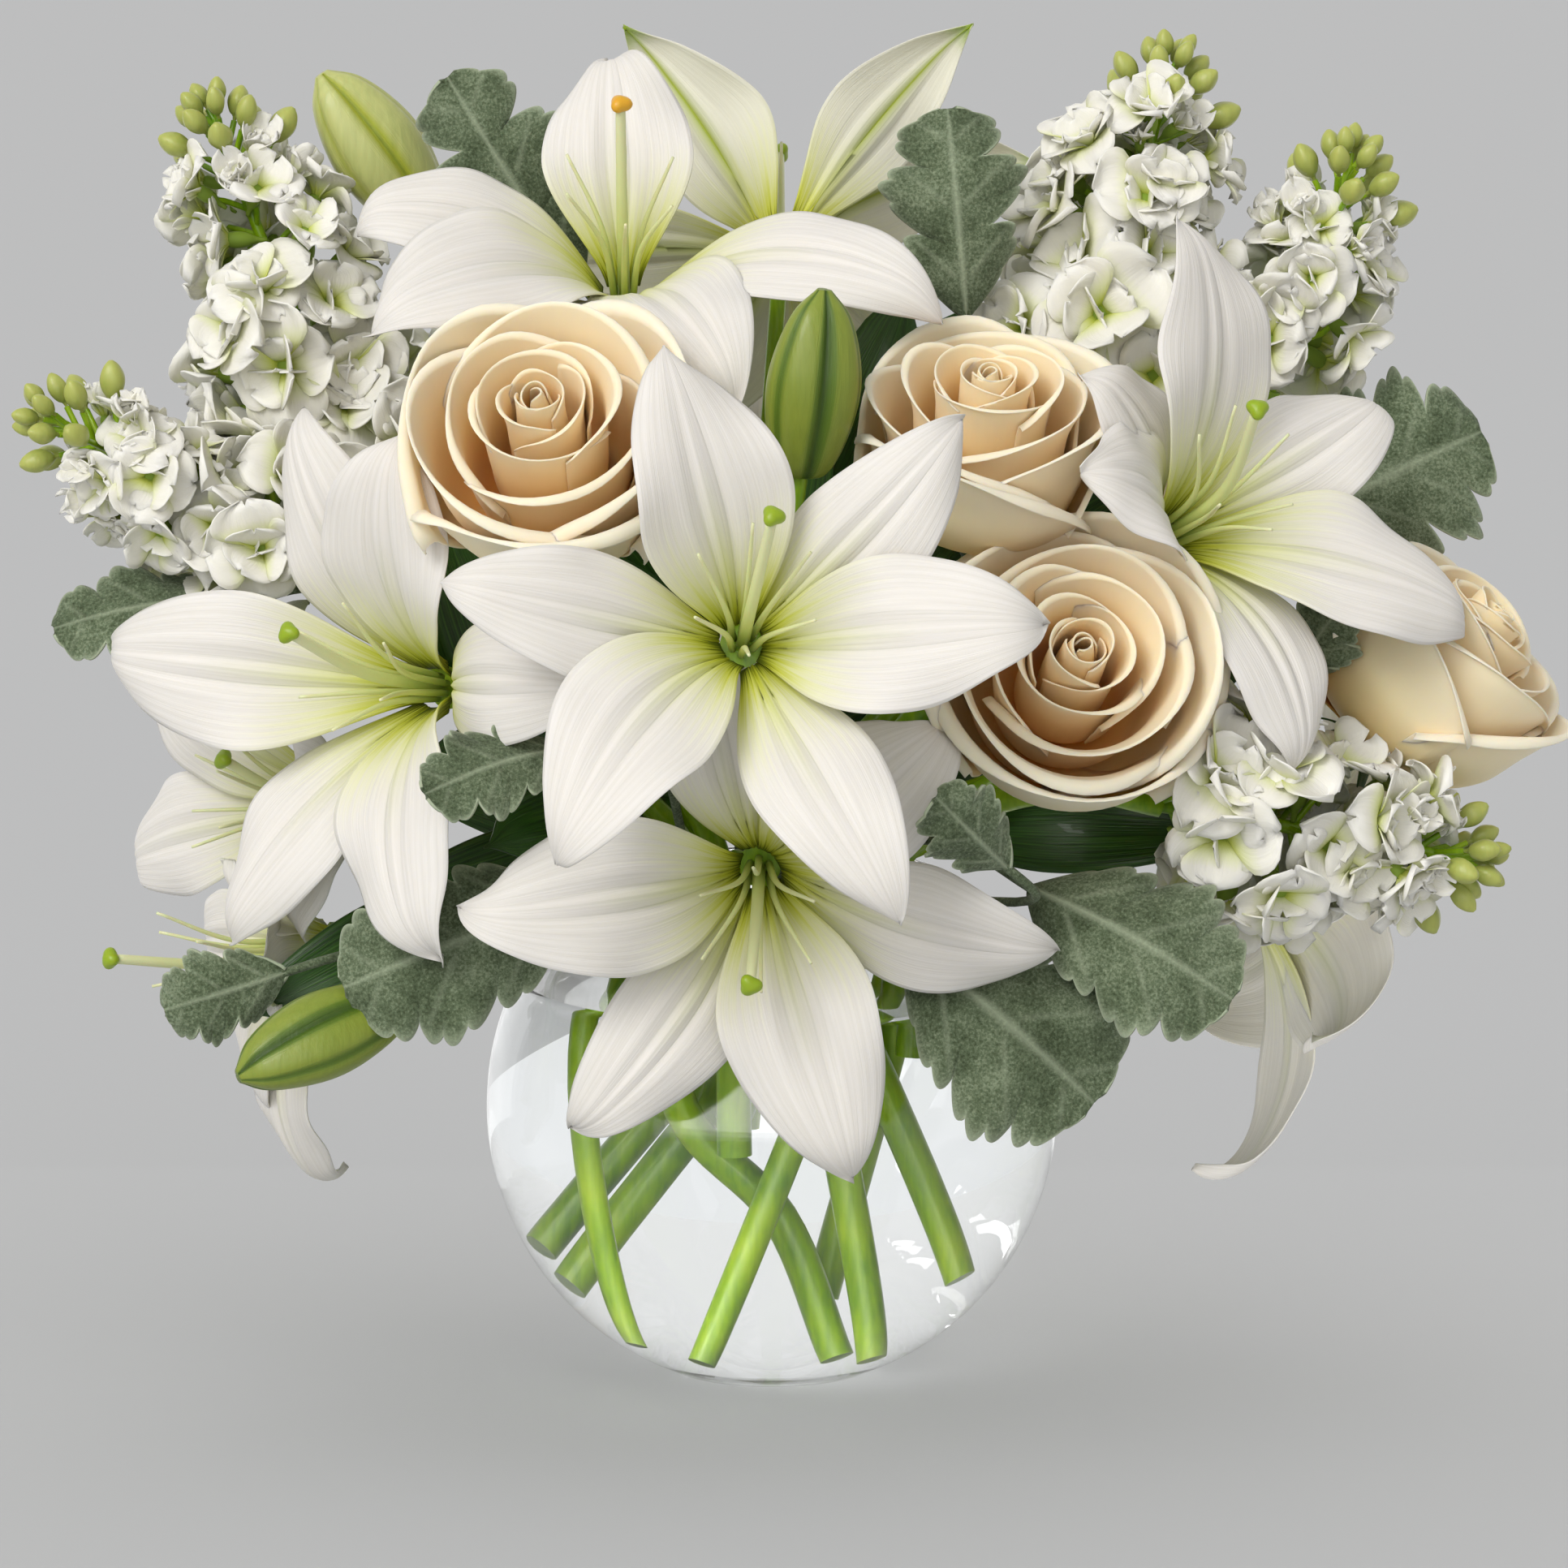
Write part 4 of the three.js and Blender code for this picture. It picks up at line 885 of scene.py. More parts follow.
def bloom_tree():
    """One of a collection's shapes on every point, facing outward, with a random turn about its axis."""
    tree, given = new_tree(BLOOM_TREE, [
        ("Shapes", "NodeSocketCollection"), ("Seed", "NodeSocketInt"), ("Material", "NodeSocketMaterial"),
    ])
    outward = node(tree, "GeometryNodeInputNamedAttribute", ["outward"], data_type="FLOAT_VECTOR")
    scale = node(tree, "GeometryNodeInputNamedAttribute", ["thickness"], data_type="FLOAT")
    shapes = node(tree, "GeometryNodeCollectionInfo", [given["Shapes"], True, True])
    seed = given["Seed"]
    spin = node(tree, "FunctionNodeRandomValue", {0: 0.0, 1: 2 * math.pi, "Seed": seed}, data_type="FLOAT")
    pick = node(tree, "FunctionNodeRandomValue", {0: 0, 1: SHAPES_EACH - 1, "Seed": seed}, data_type="INT")
    aim = node(tree, "FunctionNodeAlignRotationToVector", {"Vector": outward}, axis="Z")
    roll = node(tree, "FunctionNodeAxisAngleToRotation", {"Axis": (0, 0, 1), "Angle": spin})
    turned = node(tree, "FunctionNodeRotateRotation", [aim, roll], rotation_space="LOCAL")
    points = node(tree, "GeometryNodeMeshToPoints", [given["Geometry"]])
    placed_shapes = node(tree, "GeometryNodeInstanceOnPoints", {
        "Points": points, "Instance": shapes, "Pick Instance": True, "Instance Index": pick,
        "Rotation": turned, "Scale": scale,
    })
    ended(tree, placed_shapes, given["Material"])
    return tree


def grown(name, tree, points, edges, thickness, outward, values):
    """The plain mesh object that a tree grows on points and edges, which lie in millimetres."""
    wire = bpy.data.meshes.new(name)
    wire.from_pydata((np.asarray(points, float) * MM).tolist(), edges, [])
    sizes = wire.attributes.new("thickness", "FLOAT", "POINT")
    sizes.data.foreach_set("value", np.asarray(thickness, np.float32).ravel())
    if outward is not None:
        ways = wire.attributes.new("outward", "FLOAT_VECTOR", "POINT")
        ways.data.foreach_set("vector", np.asarray(outward, np.float32).ravel())
    carrier = linked(name + "_carrier", wire)
    modifier = carrier.modifiers.new(tree.name, "NODES")
    modifier.node_group = tree
    for item in tree.interface.items_tree:
        if item.in_out == "INPUT" and item.name in values:
            modifier[item.identifier] = values[item.name]
    graph = bpy.context.evaluated_depsgraph_get()
    mesh = bpy.data.meshes.new_from_object(carrier.evaluated_get(graph), depsgraph=graph)
    bpy.data.objects.remove(carrier)
    mesh.name = name
    return linked(name, mesh)


def stems(name, paths, material, sides=14):
    """Round stems along paths: a list of (points, radius or radii)."""
    points, edges, radii = [], [], []
    for path, radius in paths:
        start = len(points)
        points += list(path)
        radii += list(np.broadcast_to(radius, len(path)) * MM)
        edges += [(start + i, start + i + 1) for i in range(len(path) - 1)]
    tree = bpy.data.node_groups.get(STEM_TREE) or stem_tree()
    return grown(name, tree, points, edges, radii, None, {"Sides": sides, "Material": material})


def blooms(name, places, outward, scales, shapes, seed, material):
    """Shapes of a collection on places, each facing outward."""
    tree = bpy.data.node_groups.get(BLOOM_TREE) or bloom_tree()
    values = {"Shapes": shapes, "Seed": seed, "Material": material}
    return grown(name, tree, places, [], scales, outward, values)


def hidden_collection(name, maker, seeds):
    """A collection of shapes that only Geometry Nodes use, one for each seed, made once."""
    if name in bpy.data.collections:
        return bpy.data.collections[name]
    collection = bpy.data.collections.new(name)
    for i, seed in enumerate(seeds):
        shape = maker(f"{name}_{i}", seed)
        bpy.context.scene.collection.objects.unlink(shape)
        collection.objects.link(shape)
    return collection


# ---------------------------------------------------------------- bowl and water
ARC_STEPS = 60


def arc(radius, low, high, steps):
    """Points [radius, height] of a circle round the bowl's centre, between two heights."""
    a, b = (math.asin(np.clip((z - BOWL_CENTRE) / radius, -1, 1)) for z in (low, high))
    angle = np.linspace(a, b, steps)
    return np.stack([radius * np.cos(angle), BOWL_CENTRE + radius * np.sin(angle)], axis=1)


def lathe(profile, sides=96):
    """Rings of points round the Z axis from a profile of [radius, height]."""
    turn = np.linspace(0, 2 * math.pi, sides, endpoint=False)
    rings = np.zeros((len(profile), sides, 3))
    rings[..., 0] = profile[:, :1] * np.cos(turn)
    rings[..., 1] = profile[:, :1] * np.sin(turn)
    rings[..., 2] = profile[:, 1:]
    return rings


def bowl_profile(wall):
    """Foot, outside, fire-polished lip and inside of the glass, from axis to axis."""
    outer = arc(BOWL_RADIUS, FOOT_TOP, BOWL_HEIGHT - wall / 2, ARC_STEPS)
    inner = arc(BOWL_RADIUS - wall, GLASS_FLOOR, BOWL_HEIGHT - wall / 2, ARC_STEPS)[::-1]
    lip_centre = (outer[-1] + inner[0]) / 2
    lip_radius = np.linalg.norm(outer[-1] - inner[0]) / 2
    start = math.atan2(*(outer[-1] - lip_centre)[::-1])
    turn = np.linspace(start, start + math.pi, 10)[1:-1]
    lip = lip_centre + lip_radius * np.stack([np.cos(turn), np.sin(turn)], axis=1)
    # The foot is pushed up in the middle and stands on a ring.
    foot = np.array([
        [AXIS, 0.9], [12, 0.7], [FOOT_RADIUS - 6, 0.25], [FOOT_RADIUS - 1.5, 0], [FOOT_RADIUS, 0.3],
    ])
    floor = np.array([[8, inner[-1][1] - 0.4], [AXIS, inner[-1][1] - 0.5]])
    return np.concatenate([foot, outer, lip, inner, floor])


def water_profile(wall):
    """Water that wets the glass, a hair into its wall, with a raised edge where it climbs it."""
    side = arc(BOWL_RADIUS - wall + 0.15, GLASS_FLOOR, WATER_LEVEL + 0.9, ARC_STEPS)
    bottom, rim = side[0][1], side[-1][0]
    top = np.array([
        [rim - 0.8, WATER_LEVEL + 0.3], [rim - 2.5, WATER_LEVEL], [rim / 2, WATER_LEVEL], [AXIS, WATER_LEVEL],
    ])
    return np.concatenate([[[AXIS, bottom - 0.6], [8, bottom - 0.5]], side, top])


def turned_piece(name, profile, material):
    """A piece turned round the Z axis."""
    skin = Skin()
    rings = lathe(profile)
    skin.turned(rings, np.zeros(rings.shape))
    return skin.object(name, material)


# ---------------------------------------------------------------- lilies
# The broad and the narrow tepals: which width, where the throat starts and how it leans, and the cup.
INNER = dict(width="inner_width", throat_radius=4.8, throat_angle=23, cup=0.4, wave=1)
OUTER = dict(width="outer_width", throat_radius=5.4, throat_angle=33, cup=0.05, wave=0.7)
TEPAL_GRID = 60, 31
# The least and most extra bend of a tepal's tip, in degrees; how far tepals stray sideways at the tip and
# in the middle, in millimetres, and twist, in degrees, as standard deviations; and the knob of the style.
TIP_CURL = 30, 75
SWAY, BOW, TWIST = 5, 2, 16
KNOB_RADIUS, KNOB_HALF_HEIGHT = 2.7, 2.1


def tepal_outline(bloom, s, rng):
    """A tepal's half width at each share of its length: broad in the middle, pointed at the tip."""
    widest = 0.5 + rng.uniform(-0.04, 0.05)
    past = np.clip((s - widest) / (1 - widest), 0, 0.999)
    narrowing = 1 - past ** mix(1.75, 1.5, bloom["green"])
    return (0.2 + 0.8 * step(-0.04, widest, s)) * narrowing ** bloom.get("blunt", 0.85)


def tepal_lift(kind, width, s, t, sizes, rng):
    """How far each point of a tepal stands off a flat strip: its cup, waves, rib and furrows."""
    side = np.abs(t)
    wave = sizes.tepal_wave / MM * step(0.2, 0.6, s) * kind["wave"]
    phases = rng.uniform(0, 2 * math.pi, 4)
    left, right = (
        np.sin(2 * math.pi * 1.3 * s + phases[i]) + 0.4 * np.sin(2 * math.pi * 3.1 * s + phases[i + 2])
        for i in (0, 1)
    )
    ripple = np.where(t < 0, left[:, None], right[:, None])
    fade = np.sin(math.pi * np.clip(s * 0.93 + 0.07, 0, 1)) ** 0.7 * (1 - 0.75 * step(0.45, 0.95, s))
    furrows = 0.5 * bump(side, 0.0, 0.07) - bump(side, 0.16, 0.08) + 0.3 * bump(side, 0.34, 0.1)
    cup = width * mix(kind["cup"], -0.12, s)
    lift = cup[:, None] * side**1.8 + wave[:, None] * ripple * side**2.2
    lift = lift + (sizes.groove / MM * fade)[:, None] * furrows
    return lift - (0.14 * width * step(0.3, 0.8, s))[:, None] * side**4


def tepal(skin, bloom, kind, spec, sizes, rng):
    """One tepal: a strip along a line that curls outwards, cupped at its foot and waved at its edges."""
    rows, columns = TEPAL_GRID
    angle, tip_angle, share = (*spec, *(TIP_ANGLE, 1.0)[len(spec) - 1:])
    length = sizes.tepal_length / MM * share
    s, t = np.linspace(0, 1, rows), np.linspace(-1, 1, columns)
    lean = mix(kind["throat_angle"], tip_angle, s**1.2) + rng.uniform(*TIP_CURL) * step(0.8, 1.04, s)
    lean = np.radians(lean)
    pace = length / (rows - 1)
    out = kind["throat_radius"] + np.cumsum(np.sin(lean)) * pace
    rise = -1 + np.cumsum(np.cos(lean)) * pace
    half = getattr(sizes, kind["width"]) / MM * bloom.get("narrow", 1.0)
    width = half * tepal_outline(bloom, s, rng) * (0.9 + 0.1 * share)
    lift = tepal_lift(kind, width, s, t, sizes, rng)
    bow = rng.normal(0, BOW) * np.sin(math.pi * s)
    sway = rng.normal(0, SWAY) * s**2 + bow
    twist = (math.radians(rng.normal(0, TWIST)) * s**1.5)[:, None]
    skew = 1 + rng.uniform(-0.09, 0.09) * t[None] * step(0.2, 0.7, s)[:, None]
    way, across = compass(math.radians(angle))
    normal = -np.cos(lean)[:, None] * way + np.sin(lean)[:, None] * UP
    turned_side = np.cos(twist) * across + np.sin(twist) * normal
    turned_normal = np.cos(twist) * normal - np.sin(twist) * across
    middle = out[:, None] * way + rise[:, None] * UP + sway[:, None] * across
    grid = (
        middle[:, None] + (width[:, None] * t * skew)[..., None] * turned_side[:, None]
        + lift[..., None] * turned_normal[:, None]
    )
    face = marked(t, s, 0.35 * max(0.0, bloom["green"] - 0.2))
    back = marked(t, s, bloom["green"])
    side = np.abs(t)
    thickness = mix(1.0, 0.45, side**2) * mix(1.2, 0.6, s)[:, None]
    ridge = 1.1 * bump(side, 0, 0.11) * mix(1.3, 0.3, s)[:, None]
    skin.sheet(placed(grid[:, ::-1], bloom), thickness, face, back, ridge)


def lily_heart(bloom, sizes, rng, orange):
    """The style with its lobed knob, and the bare filaments round it."""
    skin = Skin()
    length = sizes.style_length / MM * bloom.get("style_share", 1)
    lean = np.array(bloom.get("style", (0, 12)), float)
    tall = math.sqrt(max(length**2 - lean.dot(lean), 1))
    path = smooth_path([(0, 0, -2), (*(0.24 * lean), 0.5 * tall), (*lean, tall)])
    skin.tube(placed(path, bloom), np.linspace(1.7, 1.3, len(path)))
    turn = np.linspace(0, 2 * math.pi, 24, endpoint=False)
    height = np.linspace(-1, 1, 9)[:, None]
    lobes = 1 + 0.16 * np.cos(3 * turn)
    rounded = np.sqrt(np.maximum(1 - height**2, 0.01)) * lobes
    way = unit(path[-1] - path[-3])
    across = unit(np.cross(way, (1, 0, 0)))
    knob = (
        path[-1] + (KNOB_RADIUS * rounded * np.cos(turn))[..., None] * np.cross(across, way)
        + (KNOB_RADIUS * rounded * np.sin(turn))[..., None] * across
        + (KNOB_HALF_HEIGHT * height - 0.5 * rounded * (lobes - 1))[..., None] * way
    )
    values = np.zeros(knob.shape)
    values[..., 1], values[..., 2] = 1, 1.0 if orange else 0.5
    skin.turned(placed(knob, bloom), values)
    for i in range(6):
        out, _ = compass(2 * math.pi * (i + 0.5) / 6 + rng.normal(0, 0.08))
        reach = sizes.filament_length / MM * rng.uniform(0.8, 1.0)
        sweep = np.array((*(0.35 * lean), 0))
        line = smooth_path([
            2.6 * out, 6 * out + 0.3 * sweep + 0.5 * reach * UP, 16 * out + sweep + 0.94 * reach * UP,
        ])
        skin.tube(placed(line, bloom), np.linspace(1.05, 0.4, len(line)), 8)
    return skin


# ---------------------------------------------------------------- roses
PETAL_GRID = 38, 29
# The share of a petal below its rolled rim; half the turn that a petal spans at each stage, in radians;
# the radius that the walls are drawn for; and the outlines of the hip and of a sepal's rib.
WALL_SHARE = 0.84
PETAL_SPREAD = {0.0: 2.4, 0.25: 1.9, 0.5: 1.65, 0.75: 1.5, 1.0: 1.4}
DRAWN_RADIUS = 27
HIP = [(2.0, -12), (4.4, -8), (5.2, -3), (3.8, 0.5), (1, 1)]
SEPAL = [(2, 0, -1), (9, 0, -3.5), (18, 0, -11)]


def by_stage(table, f):
    """What a table by stage, from the innermost petal 0 to the outermost 1, says for a petal at f."""
    stages = sorted(table)
    rows = np.array([table[stage] for stage in stages], float)
    flat = [np.interp(f, stages, column) for column in rows.reshape(len(stages), -1).T]
    return np.reshape(flat, rows.shape[1:])


def rose_petal(skin, rose, k, count, sizes, rng):
    """Petal k of a rose, from its closed heart outwards: a cupped wall that flares and rolls outwards."""
    rows, columns = PETAL_GRID
    f = k / (count - 1)
    wall = by_stage(ROSE_WALLS, f)
    roll, turns = by_stage(ROSE_ROLL, f)
    wall[1:, 1] += rng.uniform(-2.6, 1.4) * min(1, 2 * f)
    wall[2:, 0] += rng.uniform(-0.8, 0.8) * f
    wall[4, 0] += rng.uniform(-1.4, 1.0) * f
    line = smooth_path(np.column_stack([wall, np.zeros(len(wall))]), 12)[:, :2]
    line[:, 0] *= sizes.rose_radius / MM / DRAWN_RADIUS * mix(1, rose.get("open", 1.0), step(0.2, 0.9, f))
    way = np.gradient(line, axis=0)
    way /= np.linalg.norm(way, axis=1, keepdims=True)
    v = np.linspace(0, 1, rows)[:, None]
    t = np.linspace(-1, 1, columns)[None]
    side = np.abs(t)
    # The wall, lower towards the petal's sides and a little lopsided.
    lean = rng.uniform(-0.15, 0.15) * min(1, 3 * f)
    reach = np.minimum(v / WALL_SHARE, 1) * (1 - mix(0.1, 0.44, f) * side ** mix(2.8, 2.0, f) + lean * t)
    places = np.linspace(0, 1, len(line))
    radius, height, outward, upward = (
        np.interp(reach, places, values) for values in (line[:, 0], line[:, 1], way[:, 0], way[:, 1])
    )
    # The rolled rim, uneven along its length, and the ruffle that runs into it.
    phase = rng.uniform(0, 2 * math.pi)
    uneven = 1 + 0.35 * np.sin(1.3 * math.pi * t + phase) + 0.35 * side**2 * f
    bend = np.radians(turns) * step(0, 1, (v - WALL_SHARE) / (1 - WALL_SHARE)) * uneven
    ruffle = mix(0.1, 0.9, f) * np.sin(1.7 * math.pi * t + 1.9 * phase) * step(0.5, 1, v)
    radius = radius + roll * (np.sin(bend) * outward + (1 - np.cos(bend)) * upward) * uneven + ruffle
    height = height + roll * (np.sin(bend) * upward - (1 - np.cos(bend)) * outward) * uneven + ruffle
    # One side tucks under the next petal, and both stand off a little.
    tuck = mix(0.3, 1.6, f) * t * step(0.05, 0.5, v)
    wing = mix(0, 1.6, f) * step(0.72, 1.0, side) * step(0.35, 0.9, v)
    radius = radius + tuck + wing
    spread = by_stage(PETAL_SPREAD, f) * rng.uniform(0.88, 1.18) * (0.5 + 0.5 * step(0, 0.45, v))
    turn = GOLDEN_ANGLE * k + rng.normal(0, 0.26) * f + spread * t
    grid = np.stack([radius * np.cos(turn), radius * np.sin(turn), height + 0 * turn], axis=-1)
    skin.sheet(placed(grid * rose["size"], rose), 0.5, marked(t[0], v[:, 0], f))


def rose_calyx(rose):
    """The hip under a rose and its five sepals, which hang outwards."""
    calyx = Skin()
    rings = lathe(smooth_profile(HIP), 20)
    calyx.turned(placed(rings, rose), np.full(rings.shape, 0.6))
    s, t = np.linspace(0, 1, 12), np.linspace(-1, 1, 5)
    line = smooth_path(SEPAL, 6)
    line = np.stack([np.interp(s * 12, range(13), line[:, j]) for j in range(3)], axis=1)
    width = 3.2 * (1 - s) ** 0.8 + 0.2
    for i in range(5):
        way, across = compass(2 * math.pi * i / 5)
        grid = line[:, None, :1] * way + line[:, None, 2:] * UP
        grid = grid + (width[:, None] * t)[..., None] * across
        calyx.sheet(placed(grid[:, ::-1], rose), 0.5, marked(t, s)[:, ::-1])
    return calyx


# ---------------------------------------------------------------- stock
FLORET_GRID = 11, 9
# The whorls of a double floret: petals, length share, half width to length, and lean in degrees.
WHORLS = [(4, 0.96, 0.56, 82), (3, 0.72, 0.62, 48), (1, 0.5, 0.8, 14)]
# The calyx of a floret and a bud, as [radius, height] points, and the radius of the widest head.
FLORET_CUP = [(0.7, -9), (1.0, -6), (2.2, -3), (2.6, 0.5), (2.0, 3.0), (0.6, 3.4)]
STOCK_BUD = [(0.6, -6), (0.6, -1), (1.6, 0), (2.6, 2.2), (2.7, 4.2), (1.7, 6.6), (0.5, 7.8)]
WIDEST_HEAD = 39
OPENING_FLORETS, OPENING_SCALE, HALF_OPEN = 6, 0.62, 0.35


def floret_petal(skin, turn, length, half, opens, rng):
    """A ruffled petal of a double floret: a narrow foot and a broad, round, softly notched blade."""
    rows, columns = FLORET_GRID
    v, t = np.linspace(0, 1, rows), np.linspace(-1, 1, columns)
    lean = np.radians(np.interp(v, [0, 0.2, 0.55, 1], [8, 0.5 * opens, 1.0 * opens, 1.3 * opens]))
    out = 0.5 + np.cumsum(np.sin(lean)) * length / rows
    rise = (np.cumsum(np.cos(lean)) * length / rows)[:, None]
    round_end = np.sqrt(np.clip(1 - (np.maximum(v - 0.58, 0) / 0.425) ** 2, 0.02, 1))
    width = (half * (0.12 + 0.88 * step(0.02, 0.56, v)) * round_end)[:, None]
    phase = rng.uniform(0, 2 * math.pi)
    notch = 0.1 * length * bump(t, 0, 0.3)[None] * step(0.8, 1, v)[:, None]
    ruffle = np.sin(1.1 * math.pi * t + phase) * (0.1 * length * step(0.3, 1, v)[:, None])
    ruffle = ruffle + np.sin(2.6 * math.pi * t + 2 * phase) * (0.035 * length * step(0.5, 1, v)[:, None])
    cupped = rng.uniform(0.0, 0.45) * width * np.abs(t) ** 2
    tilt = rng.normal(0, 0.14) * width * t
    way, across = compass(turn)
    grid = (
        (out[:, None] - notch)[..., None] * way + (width * t)[..., None] * across
        + (rise + ruffle + cupped + tilt)[..., None] * UP
    )
    skin.sheet(grid[:, ::-1], 0.4, marked(t, v)[:, ::-1])


def floret(name, seed, sizes, material, opens=1.0):
    """A double floret at the origin that faces +Z: broad petals round a few folded ones, on a calyx."""
    rng = np.random.default_rng(seed)
    skin = Skin()
    for w, (count, share, breadth, lean) in enumerate(WHORLS):
        for i in range(count):
            turn = 2 * math.pi * (i + 0.5 * (w % 2)) / count + rng.normal(0, 0.2)
            reach = sizes.floret_petal / MM * share * rng.uniform(0.85, 1.12)
            half = reach * breadth * mix(0.5, 1, opens)
            floret_petal(skin, turn, reach, half, (lean + rng.normal(0, 13)) * opens, rng)
    rings = lathe(smooth_profile(FLORET_CUP, 3), 10)
    skin.turned(rings, np.ones(rings.shape))
    return skin.object(name, material)


def stock_bud(name, seed, material):
    """A green bud on a short stalk at the origin, pointing along +Z."""
    skin = Skin()
    rng = np.random.default_rng(seed)
    rings = lathe(smooth_profile(STOCK_BUD), 12)
    ribs = 1 + 0.08 * np.cos(4 * np.linspace(0, 2 * math.pi, 12, endpoint=False) + rng.uniform(0, 3))
    rings[..., :2] *= ribs[None, :, None]
    values = np.zeros(rings.shape)
    values[..., 0] = 0.7
    values[..., 1] = np.linspace(0, 1, rings.shape[0])[:, None]
    values[..., 2] = 0.6 + 0.4 * values[..., 1]
    skin.turned(rings, values)
    return skin.object(name, material)


def smooth_profile(profile, per_span=4):
    """A smooth profile through [radius, height] points, kept off the axis."""
    line = smooth_path([(*point, 0) for point in profile], per_span)[:, :2]
    line[:, 0] = np.maximum(line[:, 0], 0.05)
    return line


def head_places(stock):
    """Where a head's florets stand, which way they face and how big they are, by the golden angle."""
    low, axis, length, side, other = axis_frame(stock["low"], stock["high"], UP)
    count = stock["florets"]
    places, ways, scales = [], [], []
    rng = np.random.default_rng(count)
    for i in range(count):
        share = (i + 0.4) / count
        radial = round_axis(GOLDEN_ANGLE * i + rng.normal(0, 0.2), side, other)
        # Every third floret stands deeper in the head.
        out = stock["radius"] * (1 - 0.5 * share**1.5) * (0.66, 0.56, 0.36)[i % 3]
        places.append(low + axis * (share * length - 0.1 * out + rng.normal(0, 1.5)) + radial * out)
        rising = mix(0.0, 0.8, share) + rng.normal(0, 0.3)
        ways.append(unit(radial + axis * rising + rng.normal(0, 0.25, 3)))
        scale = (0.6 + 0.4 * stock["radius"] / WIDEST_HEAD) * mix(1.24, 0.78, share)
        scales.append(scale * rng.uniform(0.86, 1.12))
    return places, ways, scales


# ---------------------------------------------------------------- leaves
LANCE_GRID = 26, 9
LOBED_GRID = 170, 27
SCALLOPS_PER_LOBE = 3
LOBE_SWEEP = 0.55
# A closed lily bud from foot to tip, as shares of its radius and its length.
BUD_PROFILE = [(0.15, 0), (0.55, 0.04), (0.92, 0.28), (1, 0.55), (0.62, 0.87), (0.16, 1)]


def leaf_frame(leaf):
    """A leaf's foot, its rib, the ways along and off it, and the way across."""
    base, tip = np.array(leaf["base"], float), np.array(leaf["tip"], float)
    rib = tip - base
    along = unit(rib)
    up = unit(np.array(leaf["face"], float) - along * along.dot(leaf["face"]))
    return base, rib, along, up, np.cross(along, up)


def lance_leaf(skin, leaf, rng):
    """A lily's own leaf: narrow, arched and folded along its rib."""
    base, rib, _, up, side = leaf_frame(leaf)
    rows, columns = LANCE_GRID
    s, t = np.linspace(0, 1, rows), np.linspace(-1, 1, columns)
    arch = 0.1 * np.linalg.norm(rib) * np.sin(math.pi * s)
    width = leaf["half"] * (0.22 + 0.78 * np.sin(math.pi * s**0.8) ** 0.8) * (1 - 0.97 * step(0.85, 1, s))
    fold = 0.25 * width[:, None] * np.abs(t) + 0.6 * np.sin(5 * s + rng.uniform(0, 6))[:, None] * t**2
    middle = base + s[:, None] * rib + arch[:, None] * up
    grid = middle[:, None] + (width[:, None] * t)[..., None] * side + fold[..., None] * up
    skin.sheet(grid[:, ::-1], 0.5, marked(t, s)[:, ::-1])


def lobed_leaf(skin, leaf, sizes, rng):
    """A dusty miller leaf: rounded lobes with a scalloped edge, a raised rib and side veins."""
    base, rib, along, up, side = leaf_frame(leaf)
    rows, columns = LOBED_GRID
    length = np.linalg.norm(rib)
    s, t = np.linspace(0, 1, rows), np.linspace(-1, 1, columns)
    lobe_count, depth = leaf.get("lobes", 3), leaf.get("depth", 0.34)
    body = 0.1 + 0.95 * np.sin(math.pi * np.minimum(s, 0.998)) ** 0.55
    halves = []
    for shift in rng.uniform(-0.06, 0.06, 2):
        place = np.clip(s * lobe_count * (1 - 0.06 * s) + shift, 0, None)
        lobes = 1 - depth + depth * np.abs(np.sin(math.pi * place)) ** 0.6
        scallops = 1 - 0.13 * (1 - np.abs(np.sin(math.pi * place * SCALLOPS_PER_LOBE)) ** 0.7)
        halves.append(leaf["half"] * body * lobes * scallops * rng.uniform(0.92, 1.08))
    width = np.where(t[None] < 0, halves[0][:, None], halves[1][:, None])
    edge = np.abs(t)
    phases = rng.uniform(0, 2 * math.pi, 2)
    left, right = (np.sin(2 * math.pi * s * 2.6 + phase)[:, None] for phase in phases)
    ripple = sizes.leaf_ruffle / MM * np.where(t < 0, left, right) * edge**2
    reach = s[:, None] * length - LOBE_SWEEP * width * edge
    side_veins = bump((reach * lobe_count / length) % 1, 0.5, 0.05) * step(0.02, 0.2, edge)
    rib_line = bump(edge, 0, 0.05)[None] * np.ones((rows, 1))
    vein = np.maximum(rib_line, 0.55 * side_veins * (1 - 0.6 * edge)) * (1 - 0.5 * s[:, None])
    lift = ripple - 0.2 * width * edge**1.5 + 0.6 * vein
    arch = 0.1 * length * np.sin(math.pi * s)
    middle = base + s[:, None] * rib + arch[:, None] * up
    grid = (
        middle[:, None] + (width * t)[..., None] * side + lift[..., None] * up
        + (LOBE_SWEEP * width * edge * (1 - 0.75 * s[:, None] ** 2))[..., None] * along
    )
    skin.sheet(grid[:, ::-1], 0.8, marked(t, s, vein)[:, ::-1])


